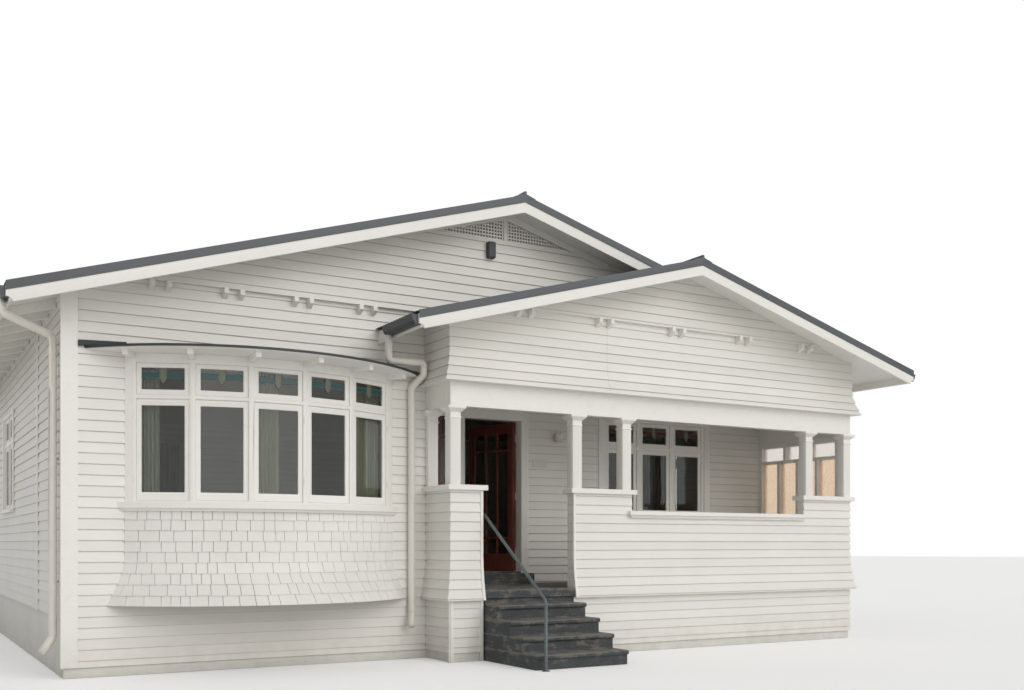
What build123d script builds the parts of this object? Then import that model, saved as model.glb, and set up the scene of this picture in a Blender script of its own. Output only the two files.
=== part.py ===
from build123d import *
import os
from math import asin, cos, degrees, hypot, radians, sin

# All sizes are in millimetres. X runs along the front, Y towards the back,
# and Z up from the ground. Faces are given from the front left corner of
# the main house, and the finished pieces are centred on the footprint.

# Main house
house_width = 10970
house_depth = 9400
wall = 140
floor_level = 1020
floor_thickness = 100
ceiling_level = 3750
ceiling_thickness = 20
foundation_height = 620
plinth_height = 110
plinth_inset = 20
trim = 12

# Roof: tops of the roofing sheets
ridge_x = 5312
roof_rise = 2022
ridge_height = ceiling_level + roof_rise
left_eave_x = -577
left_eave_rise = 220
left_eave_height = ceiling_level + left_eave_rise
left_pitch = (ridge_height - left_eave_height) / (ridge_x - left_eave_x)
right_eave_reach = 746
right_eave_x = house_width + right_eave_reach
right_eave_rise = 263
right_eave_height = ceiling_level + right_eave_rise
right_pitch = (ridge_height - right_eave_height) / (right_eave_x - ridge_x)
gable_overhang = 550
sheet_depth = 40
lining_depth = 60
barge_thickness = 30
barge_drop = 220
barge_end_cut = 70
flashing_thickness = 6
flashing_drop = 95
ridge_cap_reach = 150
ridge_cap_thickness = 8
ridge_roll = 22
fascia_thickness = 25
fascia_drop = 200
sheet_into_gutter = 32
gutter_width = 115
gutter_depth = 110
gutter_skin = 4
gutter_hang = 8
gutter_lip_share = 0.8
gutter_heel_share = 0.55
gutter_heel_rise = 40
gutter_top_clear = 1
porch_gutter_setback = 370
rafter_width = 50
rafter_depth = 100
rafter_spacing = 600
rafter_first = 420

# Main gable
gable_panel_drop = 52
gable_panel_proud = 60
vent_base_drop = 457
vent_base = ridge_height - vent_base_drop
vent_left_reach = 962
vent_left = ridge_x - vent_left_reach
vent_right_reach = 998
vent_right = ridge_x + vent_right_reach
vent_peak_drop = 90
vent_depth = 45
vent_bar = 16
vent_bar_pitch = 92
vent_rim = 30
gable_bracket_places = [990, 1790, 2600, 3400]
bracket_pair_half = 90
bracket_width = 55
bracket_reach = 100
bracket_face = 85
bracket_heel = 150
service_box_from_ridge = 237
service_box_x = ridge_x - service_box_from_ridge
service_box_drop = 265
service_box_base = vent_base - service_box_drop
service_box_width = 110
service_box_height = 210
service_box_depth = 80

# Bow window
bow_x = 2190
bow_half_chord = 1563
bow_depth = 441
bow_facets = 5
bow_casing = 89
bow_sill_top = 1861
bow_sill_thickness = 95
bow_head_drop = 290
bow_head = ceiling_level - bow_head_drop
bow_head_rail = 103
bow_sash_top = bow_head - bow_head_rail
bow_upper_sash = 345
bow_transom = 40
bow_transom_base = bow_sash_top - bow_upper_sash - bow_transom
bow_sash_base = 1877
bow_frame_thickness = 95
bow_sash_width = 556
bow_glass_width = 450
bow_lower_rails = (91, 71)
bow_upper_rails = (61, 50)
bow_upper_base = bow_transom_base + bow_transom
bow_glass_lower = (bow_sash_base + bow_lower_rails[0], bow_transom_base - bow_lower_rails[1])
bow_glass_upper = (bow_upper_base + bow_upper_rails[0], bow_sash_top - bow_upper_rails[1])
bow_sill_reach = 80
bow_moulding = 30
bow_moulding_reach = 45
bow_wall_lap = 70
apron_base = 757
apron_straight_to = 1190
apron_flare = 359
apron_side_flare = 147
apron_skin = 40
apron_steps = 6
apron_curve = 1.7
hood_half_chord = 1970
hood_depth = 930
hood_lining = 14
hood_edge = 22
hood_rise = 50
hood_tail_width = 60
hood_tail_height = 60
hood_tail_setback = 90
hood_lining_inset = 25
hood_clearance = 7

# Sashes and panes
sash_thickness = 40
sash_setback = 15
glass_thickness = 6

# Porch
porch_left = 4200
porch_projection = 671
porch_recess = 1138
porch_floor_thickness = 100
balustrade = 130
porch_screen = 120
pier_left_end = 4640
pier_middle_start = 5950
pier_middle_end = 6880
pier_right_width = 970
pier_right_start = house_width - pier_right_width
pier_height = 2057
pier_cap = 63
pier_cap_reach = 50
low_height = 1790
low_cap = 55
low_cap_reach = 70
low_cap_horn = 73
low_moulding = 36
low_moulding_reach = 35
side_cap_reach = 30
flare_top = 1290
flare_base = 735
flare_reach = 70
flare_steps = 5
flare_curve = 1.8
post = 140
post_setback = 43
middle_post_setbacks = (5, 154)
capital_reach = 50
capital_plate = 30
capital_slope = 45
neck_ring = 15
neck_ring_reach = 10
neck_ring_drop = 70
beam_top = 3350
beam_depth = 292
beam_base = beam_top - beam_depth
beam_thickness = 140
porch_ceiling_drop = 50
porch_ceiling_level = beam_top - porch_ceiling_drop
porch_ceiling_thickness = 20

# Porch gable
porch_middle = (porch_left + house_width) / 2
porch_ridge_offset = 32
porch_ridge_x = porch_middle + porch_ridge_offset
porch_eave_reach = 670
porch_eave_x = porch_left - porch_eave_reach
porch_overhang = 550
porch_gable_wall = 120
porch_gable_proud = 20
skirt_height = 370
skirt_top = beam_top + skirt_height
skirt_reach = 100
skirt_steps = 4
porch_panel_drop = 47
porch_panel_proud = 60
porch_bracket_pitch = 1190
porch_bracket_pairs = 5

# Steps and handrail
step_left = 4660
step_right = 5930
riser = 171
going = 290
step_count = 5
porch_floor_level = riser * step_count
nosing_reach = 30
nosing_depth = 50
floor_nose_y = -720
doorstep_left = 5250
doorstep_right = 6340
doorstep_depth = 250
doorstep_height = 145
rail_diameter = 38
rail_foot = (4730, -1950)
rail_knee_height = 780
rail_top = (4690, -610, 1775)
rail_knee_radius = 110
rail_end_radius = 45
rail_flange = 90
rail_flange_thickness = 8

# Front door and sidelight
door_left = 5348
door_leaf_width = 904
door_leaf_height = 2134
door_leaf_thickness = 45
door_gap = 5
door_right = door_left + door_leaf_width + 2 * door_gap
door_threshold_gap = 6
door_open_angle = 75
door_stile = 110
door_bottom_rail = 245
door_bar = 30
door_light_rows = (225, 1240, 215)
door_glass_thickness = 5
hinge_pin_offset = 6
hinge_barrel = 12
hinge_height = 100
hinge_places = (250, 1040, 1830)
hinge_flap = 40
jamb = 42
architrave_width = 120
architrave_right = door_right + architrave_width
architrave_thickness = 20
architrave_top = 3296
sidelight_left = 4780
sidelight_right = 5200
sidelight_sill = 1845
sidelight_bar = 30
sidelight_upper_light = 255
door_head = floor_level + door_threshold_gap + door_leaf_height + door_gap
sidelight_transom = door_head - sidelight_upper_light - sidelight_bar
sidelight_setback = 30
sidelight_thickness = 45
sidelight_pane_setback = 20
handle_height = 1000
handle_setback = 60
rose_radius = 24
rose_thickness = 8
neck_radius = 8
neck_length = 48
knob_radius = 24

# Porch window in three bays
porch_window_offset = 70
screen_inner = house_width - porch_screen
porch_window_x = (architrave_right + screen_inner) / 2 + porch_window_offset
porch_window_bays = 3
porch_window_sill = 1850
porch_window_head = 3290
bay_width = 570
mullion = 68
window_frame_depth = 100
window_rail = 30
transom_height = 60
upper_light = 360
porch_window_transom = porch_window_head - window_rail - upper_light - transom_height
sash_stile = 55
window_sill_reach = 60
window_sill_thickness = 35
window_architrave = 85
window_head_lap = 6
window_jamb_lap = 20

# Side and back windows
side_window_sill = 1900
side_window_head = 3300
side_window_transom = side_window_head - window_rail - upper_light - transom_height
left_window_y = 5300
left_window_from_back = 1500
right_window_y = 3900
right_window_from_back = 2300
back_window_x = 2700
back_window_from_right = 2970
side_window_bays = 2

# Side screen of the porch
screen_rail = 45
screen_head = 91
screen_upper_light = 212
screen_mid_rail = beam_base - screen_head - screen_upper_light - screen_rail
screen_bar = 55
screen_upper_lights = 3
screen_lower_lights = 4

# Downpipes and fittings
pipe_diameter = 85
left_pipe_y = 190
front_pipe_x = 3980
pipe_foot = 420
pipe_outlet_gap = 8
pipe_wall_gap = 20
pipe_outlet_y = -430
pipe_bypass_x = 4065
pipe_bypass_y = -225
pipe_bypass_rise = 150
pipe_bypass_foot = 10
pipe_bypass_return = 130
pipe_fall = 25
pipe_swan_neck = 130
pipe_swan_fall = 200
left_shoe = (120, 60, 150)
front_shoe = (60, 120, 150)
left_bend = 70
front_bend = 45
clip_width = 30
clip_height = 25
left_clip_levels = (1000, 2300)
front_clip_levels = (900, 2700)
lamp_from_door = 476
lamp_x = architrave_right + lamp_from_door
lamp_drop = 342
lamp_diameter = 110
lamp_drum = 130
lamp_gap = 25
lamp_plate = 45
lamp_arm = 12
plate_from_door = 79
plate_left = architrave_right + plate_from_door
plate_base = 2519
plate_width = 237
plate_height = 116
plate_thickness = 10
corner_board = 160
cover_strip_y = 1950
cover_strip_width = 60

pieces = {}


def block(x, y, z):
    """Box between two limits along each axis."""
    size = Box(x[1] - x[0], y[1] - y[0], z[1] - z[0])
    return Pos((x[0] + x[1]) / 2, (y[0] + y[1]) / 2, (z[0] + z[1]) / 2) * size


def prism_y(outline, y):
    """Outline of X and Z points, pushed along Y."""
    face = make_face(Polyline(*[(px, y[0], pz) for px, pz in outline], close=True))
    return extrude(face, amount=y[1] - y[0], dir=(0, 1, 0))


def prism_x(outline, x):
    """Outline of Y and Z points, pushed along X."""
    face = make_face(Polyline(*[(x[0], py, pz) for py, pz in outline], close=True))
    return extrude(face, amount=x[1] - x[0], dir=(1, 0, 0))


def prism_z(outline, z):
    """Outline of X and Y points, pushed along Z."""
    face = make_face(Polyline(*[(px, py, z[0]) for px, py in outline], close=True))
    return extrude(face, amount=z[1] - z[0], dir=(0, 0, 1))


def group(items):
    """Separate solids kept together as one piece."""
    return Compound([solid for item in items for solid in item.solids()])


# Roof planes, as heights of the top of the sheets
def left_slope(x):
    return ridge_height - (ridge_x - x) * left_pitch


def right_slope(x):
    return ridge_height - (x - ridge_x) * right_pitch


porch_ridge_height = right_slope(porch_ridge_x)


def porch_slope(x):
    return porch_ridge_height - (porch_ridge_x - x) * right_pitch


def band(slope, x, upper, lower, y):
    """Sloping slab between two depths below a roof plane."""
    outline = [
        (x[0], slope(x[0]) - lower),
        (x[1], slope(x[1]) - lower),
        (x[1], slope(x[1]) - upper),
        (x[0], slope(x[0]) - upper),
    ]
    return prism_y(outline, y)


roof_depth = sheet_depth + lining_depth
far = 2000
front_barge_y = -gable_overhang
back_barge_y = house_depth + gable_overhang
porch_front = -porch_projection
porch_barge_y = porch_front - porch_overhang
lining_front = front_barge_y + barge_thickness
lining_back = back_barge_y - barge_thickness
porch_lining_front = porch_barge_y + barge_thickness
left_fascia_face = left_eave_x + sheet_into_gutter
right_fascia_face = right_eave_x - sheet_into_gutter
porch_fascia_face = porch_eave_x + sheet_into_gutter


def under_roof(slope_left, slope_right, peak, y):
    """Everything below the lining of a gable roof."""
    low, high = -far, house_width + far
    outline = [
        (low, -far),
        (high, -far),
        (high, slope_right(high) - roof_depth),
        (peak, slope_right(peak) - roof_depth),
        (low, slope_left(low) - roof_depth),
    ]
    return prism_y(outline, y)


main_space = under_roof(left_slope, right_slope, ridge_x, (-far, house_depth + far))
porch_space = under_roof(porch_slope, right_slope, porch_ridge_x, (-far, house_depth))
porch_left_cover = prism_y(
    [
        (-far, -far),
        (porch_ridge_x, -far),
        (porch_ridge_x, porch_ridge_height),
        (-far, porch_slope(-far)),
    ],
    (-far, 0),
)

# Bases of the proud gable faces, just below the lining at the outermost brackets
first_bracket = gable_bracket_places[0] - bracket_pair_half
gable_panel_base = left_slope(first_bracket) - roof_depth - gable_panel_drop
first_porch_bracket = (
    porch_middle - (porch_bracket_pairs - 1) / 2 * porch_bracket_pitch - bracket_pair_half
)
porch_panel_base = porch_slope(first_porch_bracket) - roof_depth - porch_panel_drop

# Roof sheets, with the porch slope cut back under the main overhang
pieces["roof_left"] = band(
    left_slope, (left_eave_x, ridge_x), 0, sheet_depth, (front_barge_y, back_barge_y)
)


def right_area(inset, edge):
    """Plan of the right slope, which steps forward over the porch."""
    front, back = front_barge_y + inset, back_barge_y - inset
    step = porch_barge_y + inset
    return [
        (ridge_x, front),
        (porch_ridge_x, front),
        (porch_ridge_x, step),
        (edge, step),
        (edge, back),
        (ridge_x, back),
    ]


right_reach = (ridge_x, right_eave_x)
whole_y = (porch_barge_y, back_barge_y)
pieces["roof_right"] = band(right_slope, right_reach, 0, sheet_depth, whole_y) & prism_z(
    right_area(0, right_eave_x), (0, 2 * ridge_height)
)
main_above = prism_y(
    [
        (ridge_x, right_slope(ridge_x) - roof_depth),
        (porch_ridge_x, right_slope(porch_ridge_x) - roof_depth),
        (porch_ridge_x, 2 * ridge_height),
        (ridge_x, 2 * ridge_height),
    ],
    (front_barge_y, 0),
)
porch_sheet = band(
    porch_slope, (porch_eave_x, porch_ridge_x), 0, sheet_depth, (porch_barge_y, 0)
)
pieces["roof_porch"] = porch_sheet - main_above

# Boarded linings under the sheets, seen as the soffits
pieces["soffit_left"] = band(
    left_slope,
    (left_fascia_face + fascia_thickness, ridge_x),
    sheet_depth,
    roof_depth,
    (lining_front, lining_back),
)
right_lining_edge = right_fascia_face - fascia_thickness
pieces["soffit_right"] = band(
    right_slope, (ridge_x, right_lining_edge), sheet_depth, roof_depth, whole_y
) & prism_z(right_area(barge_thickness, right_lining_edge), (0, 2 * ridge_height))
porch_lining = band(
    porch_slope,
    (porch_fascia_face + fascia_thickness, porch_ridge_x),
    sheet_depth,
    roof_depth,
    (porch_lining_front, 0),
)
pieces["soffit_porch"] = porch_lining - main_above


# Barge boards and eave boards
def barge(slope, x, y):
    return band(slope, x, sheet_depth, barge_drop, (y, y + barge_thickness))


def end_cut(slope, x):
    """Hollow cut at the foot of a barge board, on every gable at once."""
    depth = 2 * (house_depth + far)
    cut = Rot(90, 0, 0) * Cylinder(barge_end_cut, depth)
    return Pos(x, 0, slope(x) - barge_drop) * cut


def fascia(slope, face, side, y):
    """Upright board behind a gutter, under the edge of the sheets."""
    inner = face - side * fascia_thickness
    x = (min(face, inner), max(face, inner))
    return band(slope, x, sheet_depth, fascia_drop, y)


main_front_right = barge(right_slope, (ridge_x, porch_ridge_x), front_barge_y)
back_y = back_barge_y - barge_thickness
left_barges = [
    barge(left_slope, (left_eave_x, ridge_x), front_barge_y),
    barge(left_slope, (left_eave_x, ridge_x), back_y),
]
front_barges = left_barges[0] + (main_front_right - porch_left_cover)
back_barges = left_barges[1] + barge(right_slope, right_reach, back_y)
left_fascia = fascia(left_slope, left_fascia_face, -1, (lining_front, lining_back))
porch_barges = barge(porch_slope, (porch_eave_x, porch_ridge_x), porch_barge_y)
porch_barges += barge(right_slope, (porch_ridge_x, right_eave_x), porch_barge_y)
right_fascia = fascia(right_slope, right_fascia_face, 1, (porch_lining_front, lining_back))
porch_fascia = fascia(porch_slope, porch_fascia_face, -1, (porch_lining_front, 0))
left_end, right_end = end_cut(left_slope, left_eave_x), end_cut(right_slope, right_eave_x)
front_barges -= left_end
back_barges -= left_end
back_barges -= right_end
porch_barges -= right_end
porch_barges -= end_cut(porch_slope, porch_eave_x)
pieces["barge_boards"] = (
    front_barges + left_fascia + back_barges + right_fascia + porch_barges + porch_fascia
)


# Rafters under the linings of the side eaves
def rafters(slope, x, y):
    count = int((y[1] - y[0]) / rafter_spacing) + 1
    places = [y[0] + n * rafter_spacing for n in range(count)]
    half = rafter_width / 2
    depth = (roof_depth, roof_depth + rafter_depth)
    return [band(slope, x, *depth, (place - half, place + half)) for place in places]


right_first = rafter_first + 2 * rafter_spacing
left_rafters = rafters(
    left_slope, (left_fascia_face + fascia_thickness, 0), (rafter_first, house_depth - rafter_first)
)
right_rafters = rafters(
    right_slope,
    (house_width, right_fascia_face - fascia_thickness),
    (right_first, house_depth - rafter_first),
)
pieces["eave_rafters"] = group(left_rafters + right_rafters)


# Dark cappings on the barge boards and the ridges
def capping(slope, x, y):
    return band(slope, x, 0, flashing_drop, (y, y + flashing_thickness))


def ridge_cap(peak, left, right, y):
    """Folded strip that laps over both slopes at a ridge."""
    low, high = peak - ridge_cap_reach, peak + ridge_cap_reach
    outline = [
        (low, left(low)),
        (peak, left(peak)),
        (high, right(high)),
        (high, right(high) + ridge_cap_thickness),
        (peak, left(peak) + 2 * ridge_cap_thickness),
        (low, left(low) + ridge_cap_thickness),
    ]
    roll = Rot(90, 0, 0) * Cylinder(ridge_roll, y[1] - y[0])
    roll_z = left(peak) + ridge_cap_thickness / 4 + ridge_roll
    return prism_y(outline, y) + Pos(peak, (y[0] + y[1]) / 2, roll_z) * roll


front_capping = front_barge_y - flashing_thickness
porch_capping = porch_barge_y - flashing_thickness
front_caps = capping(left_slope, (left_eave_x, ridge_x), front_capping)
front_caps += capping(right_slope, (ridge_x, porch_ridge_x), front_capping) - porch_left_cover
back_caps = capping(left_slope, (left_eave_x, ridge_x), back_barge_y)
back_caps += capping(right_slope, right_reach, back_barge_y)
porch_caps = capping(porch_slope, (porch_eave_x, porch_ridge_x), porch_capping)
porch_caps += capping(right_slope, (porch_ridge_x, right_eave_x), porch_capping)
main_ridge = ridge_cap(
    ridge_x, left_slope, right_slope, (front_capping, back_barge_y + flashing_thickness)
)
porch_ridge = ridge_cap(
    porch_ridge_x, porch_slope, right_slope, (porch_capping, front_capping)
)
pieces["roof_cappings"] = front_caps + back_caps + main_ridge + porch_caps + porch_ridge


# Gutters with closed ends
def gutter(face, side, level, y):
    """Open channel that hangs on an eave board."""
    outer = face + side * gutter_width
    lip = face + side * gutter_width * gutter_lip_share
    base = level - gutter_depth
    heel = face + side * gutter_width * gutter_heel_share
    bend = base + gutter_heel_rise
    outline = [(face, level), (face, base), (heel, base), (lip, bend), (outer, level)]
    inner = [
        (face + side * gutter_skin, level + gutter_top_clear),
        (face + side * gutter_skin, base + gutter_skin),
        (heel - side * gutter_skin / 2, base + gutter_skin),
        (lip - side * gutter_skin, bend + gutter_skin / 2),
        (outer - side * gutter_skin, level + gutter_top_clear),
    ]
    trough = (y[0] + gutter_skin, y[1] - gutter_skin)
    return prism_y(outline, y) - prism_y(inner, trough)


left_gutter_level = left_slope(left_eave_x) - sheet_depth - gutter_hang
right_gutter_level = right_slope(right_eave_x) - sheet_depth - gutter_hang
porch_gutter_level = porch_slope(porch_eave_x) - sheet_depth - gutter_hang
porch_gutter_y = (porch_lining_front, -porch_gutter_setback)
pieces["gutters"] = group(
    [
        gutter(left_fascia_face, -1, left_gutter_level, (lining_front, lining_back)),
        gutter(right_fascia_face, 1, right_gutter_level, (porch_lining_front, lining_back)),
        gutter(porch_fascia_face, -1, porch_gutter_level, porch_gutter_y),
    ]
)

# Foundation walls, and low plinths under the boards of the front and porch
right_inner = house_width - wall
back_inner = house_depth - wall
room_right = porch_left + balustrade
room_inner = room_right - wall
return_back = porch_recess + wall
inset_left = (plinth_inset, wall)
inset_right = (right_inner, house_width - plinth_inset)
low_z = (0, plinth_height)
tall_z = (0, foundation_height)
porch_inner_y = porch_front + balustrade
plinth_y = (porch_front + plinth_inset, porch_inner_y)
foundation = block(inset_left, (wall, back_inner), tall_z)
foundation += block(inset_right, (porch_recess, back_inner), tall_z)
inset_across = (plinth_inset, house_width - plinth_inset)
foundation += block(inset_across, (back_inner, house_depth - plinth_inset), tall_z)
foundation += block((plinth_inset, room_right), (plinth_inset, wall), low_z)
foundation += block((room_inner, room_right), (wall, return_back), low_z)
foundation += block((room_right, right_inner), (porch_recess, return_back), low_z)
foundation += block((porch_left + plinth_inset, pier_left_end), plinth_y, low_z)
plinth_left = porch_left + plinth_inset
foundation += block((plinth_left, room_right), (porch_inner_y, plinth_inset), low_z)
foundation += block((pier_middle_start, house_width - plinth_inset), plinth_y, low_z)
side_plinth = (house_width - balustrade, house_width - plinth_inset)
foundation += block(side_plinth, (porch_inner_y, porch_recess), low_z)
pieces["foundation"] = foundation

# Floor and ceiling of the rooms, stepped round the porch
room_plan = [
    (wall, wall),
    (room_inner, wall),
    (room_inner, return_back),
    (right_inner, return_back),
    (right_inner, back_inner),
    (wall, back_inner),
]
pieces["house_floor"] = prism_z(room_plan, (floor_level - floor_thickness, floor_level))
ceiling_z = (ceiling_level, ceiling_level + ceiling_thickness)
pieces["house_ceiling"] = prism_z(room_plan, ceiling_z) & main_space


# Windows that fill a hole in a wall, drawn round X = 0 with the outside at Y = 0
def window_width(bays):
    return bays * bay_width + (bays + 1) * mullion


def window_hole(bays, sill, head):
    half = window_width(bays) / 2
    return block((-half, half), (-far, far), (sill, head))


def window_frame(bays, sill, head, transom):
    half = window_width(bays) / 2
    depth = (0, window_frame_depth)
    frame = block((-half, half), depth, (sill, head))
    reach = half + window_architrave
    surround = block(
        (-reach, reach), (-architrave_thickness, 0), (sill, head + window_head_lap)
    )
    sill_z = (sill - window_sill_thickness, sill)
    sill_piece = block((-reach, reach), (-window_sill_reach, 0), sill_z)
    clear = half - window_jamb_lap
    surround -= block((-clear, clear), (-far, far), (sill + window_rail, head - window_rail))
    frame += surround
    frame += sill_piece
    for bay in range(bays):
        left = -half + mullion + bay * (bay_width + mullion)
        across = (left, left + bay_width)
        frame -= block(across, (-far, far), (sill + window_rail, transom))
        frame -= block(across, (-far, far), (transom + transom_height, head - window_rail))
    for bay in range(bays + 1):
        left = -half + bay * (bay_width + mullion)
        frame += block((left, left + mullion), depth, (sill, head))
    return frame


def window_sashes(bays, sill, head, transom):
    """One ring and one pane for each light of the window."""
    half = window_width(bays) / 2
    rings = []
    panes = []
    rows = [(sill + window_rail, transom), (transom + transom_height, head - window_rail)]
    middle = sash_setback + sash_thickness / 2
    for bay in range(bays):
        left = -half + mullion + bay * (bay_width + mullion)
        for low, high in rows:
            depth = (sash_setback, sash_setback + sash_thickness)
            inside = (left + sash_stile, left + bay_width - sash_stile)
            tall = (low + sash_stile, high - sash_stile)
            ring = block((left, left + bay_width), depth, (low, high))
            rings.append(ring - block(inside, (-far, far), tall))
            pane_y = (middle - glass_thickness / 2, middle + glass_thickness / 2)
            panes.append(block(inside, pane_y, tall))
    return rings, panes


# Places of the windows in the back wall of the porch and in the other walls
porch_place = Pos(porch_window_x, porch_recess, 0)
left_ys = (left_window_y, house_depth - left_window_from_back)
right_ys = (right_window_y, house_depth - right_window_from_back)
back_xs = (back_window_x, house_width - back_window_from_right)
left_places = [Pos(0, y, 0) * Rot(0, 0, -90) for y in left_ys]
right_places = [Pos(house_width, y, 0) * Rot(0, 0, 90) for y in right_ys]
back_places = [Pos(x, house_depth, 0) * Rot(0, 0, 180) for x in back_xs]
side_sizes = (side_window_bays, side_window_sill, side_window_head, side_window_transom)
porch_sizes = (
    porch_window_bays,
    porch_window_sill,
    porch_window_head,
    porch_window_transom,
)
side_hole = window_hole(*side_sizes[:3])
pieces["porch_window_frame"] = porch_place * window_frame(*porch_sizes)
porch_rings, porch_panes = window_sashes(*porch_sizes)
pieces["porch_window_sashes"] = group([porch_place * r for r in porch_rings])
pieces["porch_window_glass"] = group([porch_place * p for p in porch_panes])
side_places = left_places + right_places + back_places
side_frame = window_frame(*side_sizes)
side_rings, side_panes = window_sashes(*side_sizes)
for ring in side_rings:
    side_frame += ring
pieces["side_window_frames"] = group([place * side_frame for place in side_places])
pieces["side_window_glass"] = group(
    [place * pane for place in side_places for pane in side_panes]
)

# Side and back walls, with their tops cut to the slope of the roof
wall_z = (foundation_height, 2 * ridge_height)
left_wall = block((0, wall), (wall, back_inner), wall_z) & main_space
for place in left_places:
    left_wall -= place * side_hole
pieces["left_wall"] = left_wall
right_wall = block((right_inner, house_width), (porch_recess, back_inner), wall_z) & main_space
for place in right_places:
    right_wall -= place * side_hole
pieces["right_wall"] = right_wall


def vent_outline(inset):
    """Triangle under the ridge, smaller by an inset on every side."""
    base = vent_base + inset
    peak = ridge_height - roof_depth - vent_peak_drop
    left_fall = (peak - vent_base) / (ridge_x - vent_left)
    right_fall = (peak - vent_base) / (vent_right - ridge_x)
    left = vent_left + inset * (1 + hypot(1, left_fall)) / left_fall
    right = vent_right - inset * (1 + hypot(1, right_fall)) / right_fall
    return [(left, base), (right, base), (ridge_x, peak - inset * hypot(1, left_fall))]


back_wall = block((0, house_width), (back_inner, house_depth), wall_z) & main_space
back_wall -= prism_y(vent_outline(0), (back_inner - far, house_depth + far))
for place in back_places:
    back_wall -= place * side_hole
pieces["back_wall"] = back_wall

# Bow window plan: an arc that stands on the face of the front wall
bow_radius = (bow_half_chord**2 + bow_depth**2) / (2 * bow_depth)
bow_centre_y = bow_radius - bow_depth
bow_half_angle = degrees(asin(bow_half_chord / bow_radius))
casing_angle = degrees(bow_casing / bow_radius)
facet_angle = 2 * (bow_half_angle - casing_angle) / bow_facets
first_corner = casing_angle - bow_half_angle
bow_corners = [first_corner + facet_angle * n for n in range(bow_facets + 1)]
bow_bends = [-bow_half_angle, *bow_corners, bow_half_angle]


def on_bow(angle, radius):
    turn = radians(angle)
    return (bow_x + radius * sin(turn), bow_centre_y - radius * cos(turn))


def half_moon(half_chord, reach, z):
    """Flat face between the wall and an arc in front of it."""
    left, right = (bow_x - half_chord, 0, z), (bow_x + half_chord, 0, z)
    arc = ThreePointArc(left, (bow_x, -reach, z), right)
    return make_face([arc, Line(right, left)])


def moon_plate(half_chord, reach, z):
    return extrude(half_moon(half_chord, reach, z[0]), amount=z[1] - z[0], dir=(0, 0, 1))


outer_line = [on_bow(a, bow_radius) for a in bow_bends]
inner_line = [on_bow(a, bow_radius - bow_frame_thickness) for a in reversed(bow_bends)]
bow_frame = prism_z(outer_line + inner_line, (bow_sill_top, bow_head))
bow_frame -= block((-far, far + house_width), (0, far), (0, 2 * bow_head))
facet_reach = bow_radius * cos(radians(facet_angle / 2))
facet_places = []
for n in range(bow_facets):
    angle = (bow_corners[n] + bow_corners[n + 1]) / 2
    place = Pos(bow_x, bow_centre_y, 0) * Rot(0, 0, angle) * Pos(0, -facet_reach, 0)
    facet_places.append(place)
bow_rows = [
    ((bow_sash_base, bow_transom_base), bow_glass_lower),
    ((bow_upper_base, bow_sash_top), bow_glass_upper),
]
bow_half_sash = bow_sash_width / 2
bow_half_glass = bow_glass_width / 2
sash_y = (sash_setback, sash_setback + sash_thickness)
pane_middle = sash_setback + sash_thickness / 2
pane_y = (pane_middle - glass_thickness / 2, pane_middle + glass_thickness / 2)
bow_sashes = []
bow_panes = []
for place in facet_places:
    for sash_z, glass_z in bow_rows:
        across = (-bow_half_sash, bow_half_sash)
        clear = (-bow_half_glass, bow_half_glass)
        bow_frame -= place * block(across, (-wall, wall), sash_z)
        sash = block(across, sash_y, sash_z) - block(clear, (-wall, wall), glass_z)
        bow_sashes.append(place * sash)
        bow_panes.append(place * block(clear, pane_y, glass_z))
pieces["bow_window_frame"] = bow_frame
pieces["bow_window_sashes"] = group(bow_sashes)
pieces["bow_window_glass"] = group(bow_panes)

# Sill board that also closes the seat inside the bow
sill_base = bow_sill_top - bow_sill_thickness
moulding_z = (sill_base, sill_base + bow_moulding)
sill_board = moon_plate(
    bow_half_chord + bow_sill_reach, bow_depth + bow_sill_reach, (moulding_z[1], bow_sill_top)
)
pieces["bow_sill"] = sill_board + moon_plate(
    bow_half_chord + bow_moulding_reach, bow_depth + bow_moulding_reach, moulding_z
)


# Shingled apron: upright at the top, swept out like a bell below
def apron_section(z, skin):
    drop = max(0, apron_straight_to - z) / (apron_straight_to - apron_base)
    swell = drop**apron_curve
    half = bow_half_chord + apron_side_flare * swell - skin
    return half_moon(half, bow_depth + apron_flare * swell - skin, z)


apron_fall = (apron_straight_to - apron_base) / apron_steps
apron_levels = [apron_straight_to - apron_fall * step for step in range(apron_steps)]
apron_levels.append(apron_base)
apron_outer = loft([apron_section(z, 0) for z in apron_levels], ruled=True)
apron_outer += moon_plate(bow_half_chord, bow_depth, (apron_straight_to, sill_base))
hollow_levels = [apron_base + apron_skin if z == apron_base else z for z in apron_levels]
apron_hollow = loft([apron_section(z, apron_skin) for z in hollow_levels], ruled=True)
apron_hollow += moon_plate(
    bow_half_chord - apron_skin, bow_depth - apron_skin, (apron_straight_to, sill_base)
)
pieces["bow_apron"] = apron_outer - apron_hollow

# Curved hood over the bow, with its lining and rafter tails
lining_top = bow_head + hood_lining
edge_top = lining_top + hood_edge
hood = moon_plate(hood_half_chord, hood_depth, (lining_top, edge_top))
hood += loft(
    [
        half_moon(hood_half_chord, hood_depth, edge_top),
        half_moon(hood_half_chord - hood_rise, hood_rise, edge_top + hood_rise),
    ],
    ruled=True,
)
skirt_share = (bow_head - beam_top) / skirt_height
skirt_out = skirt_reach * max(0, 1 - skirt_share) ** flare_curve
hood_limit = porch_left - porch_gable_proud - skirt_out - hood_clearance
beyond_hood = block((hood_limit, house_width), (-far, far), (0, ridge_height))
pieces["bow_hood"] = hood - beyond_hood
hood_soffit = moon_plate(
    hood_half_chord - hood_lining_inset, hood_depth - hood_lining_inset, (bow_head, lining_top)
)
tail_z = (bow_head - hood_tail_height, bow_head)
bow_body = prism_z(outer_line, (bow_sill_top, bow_head))
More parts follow.
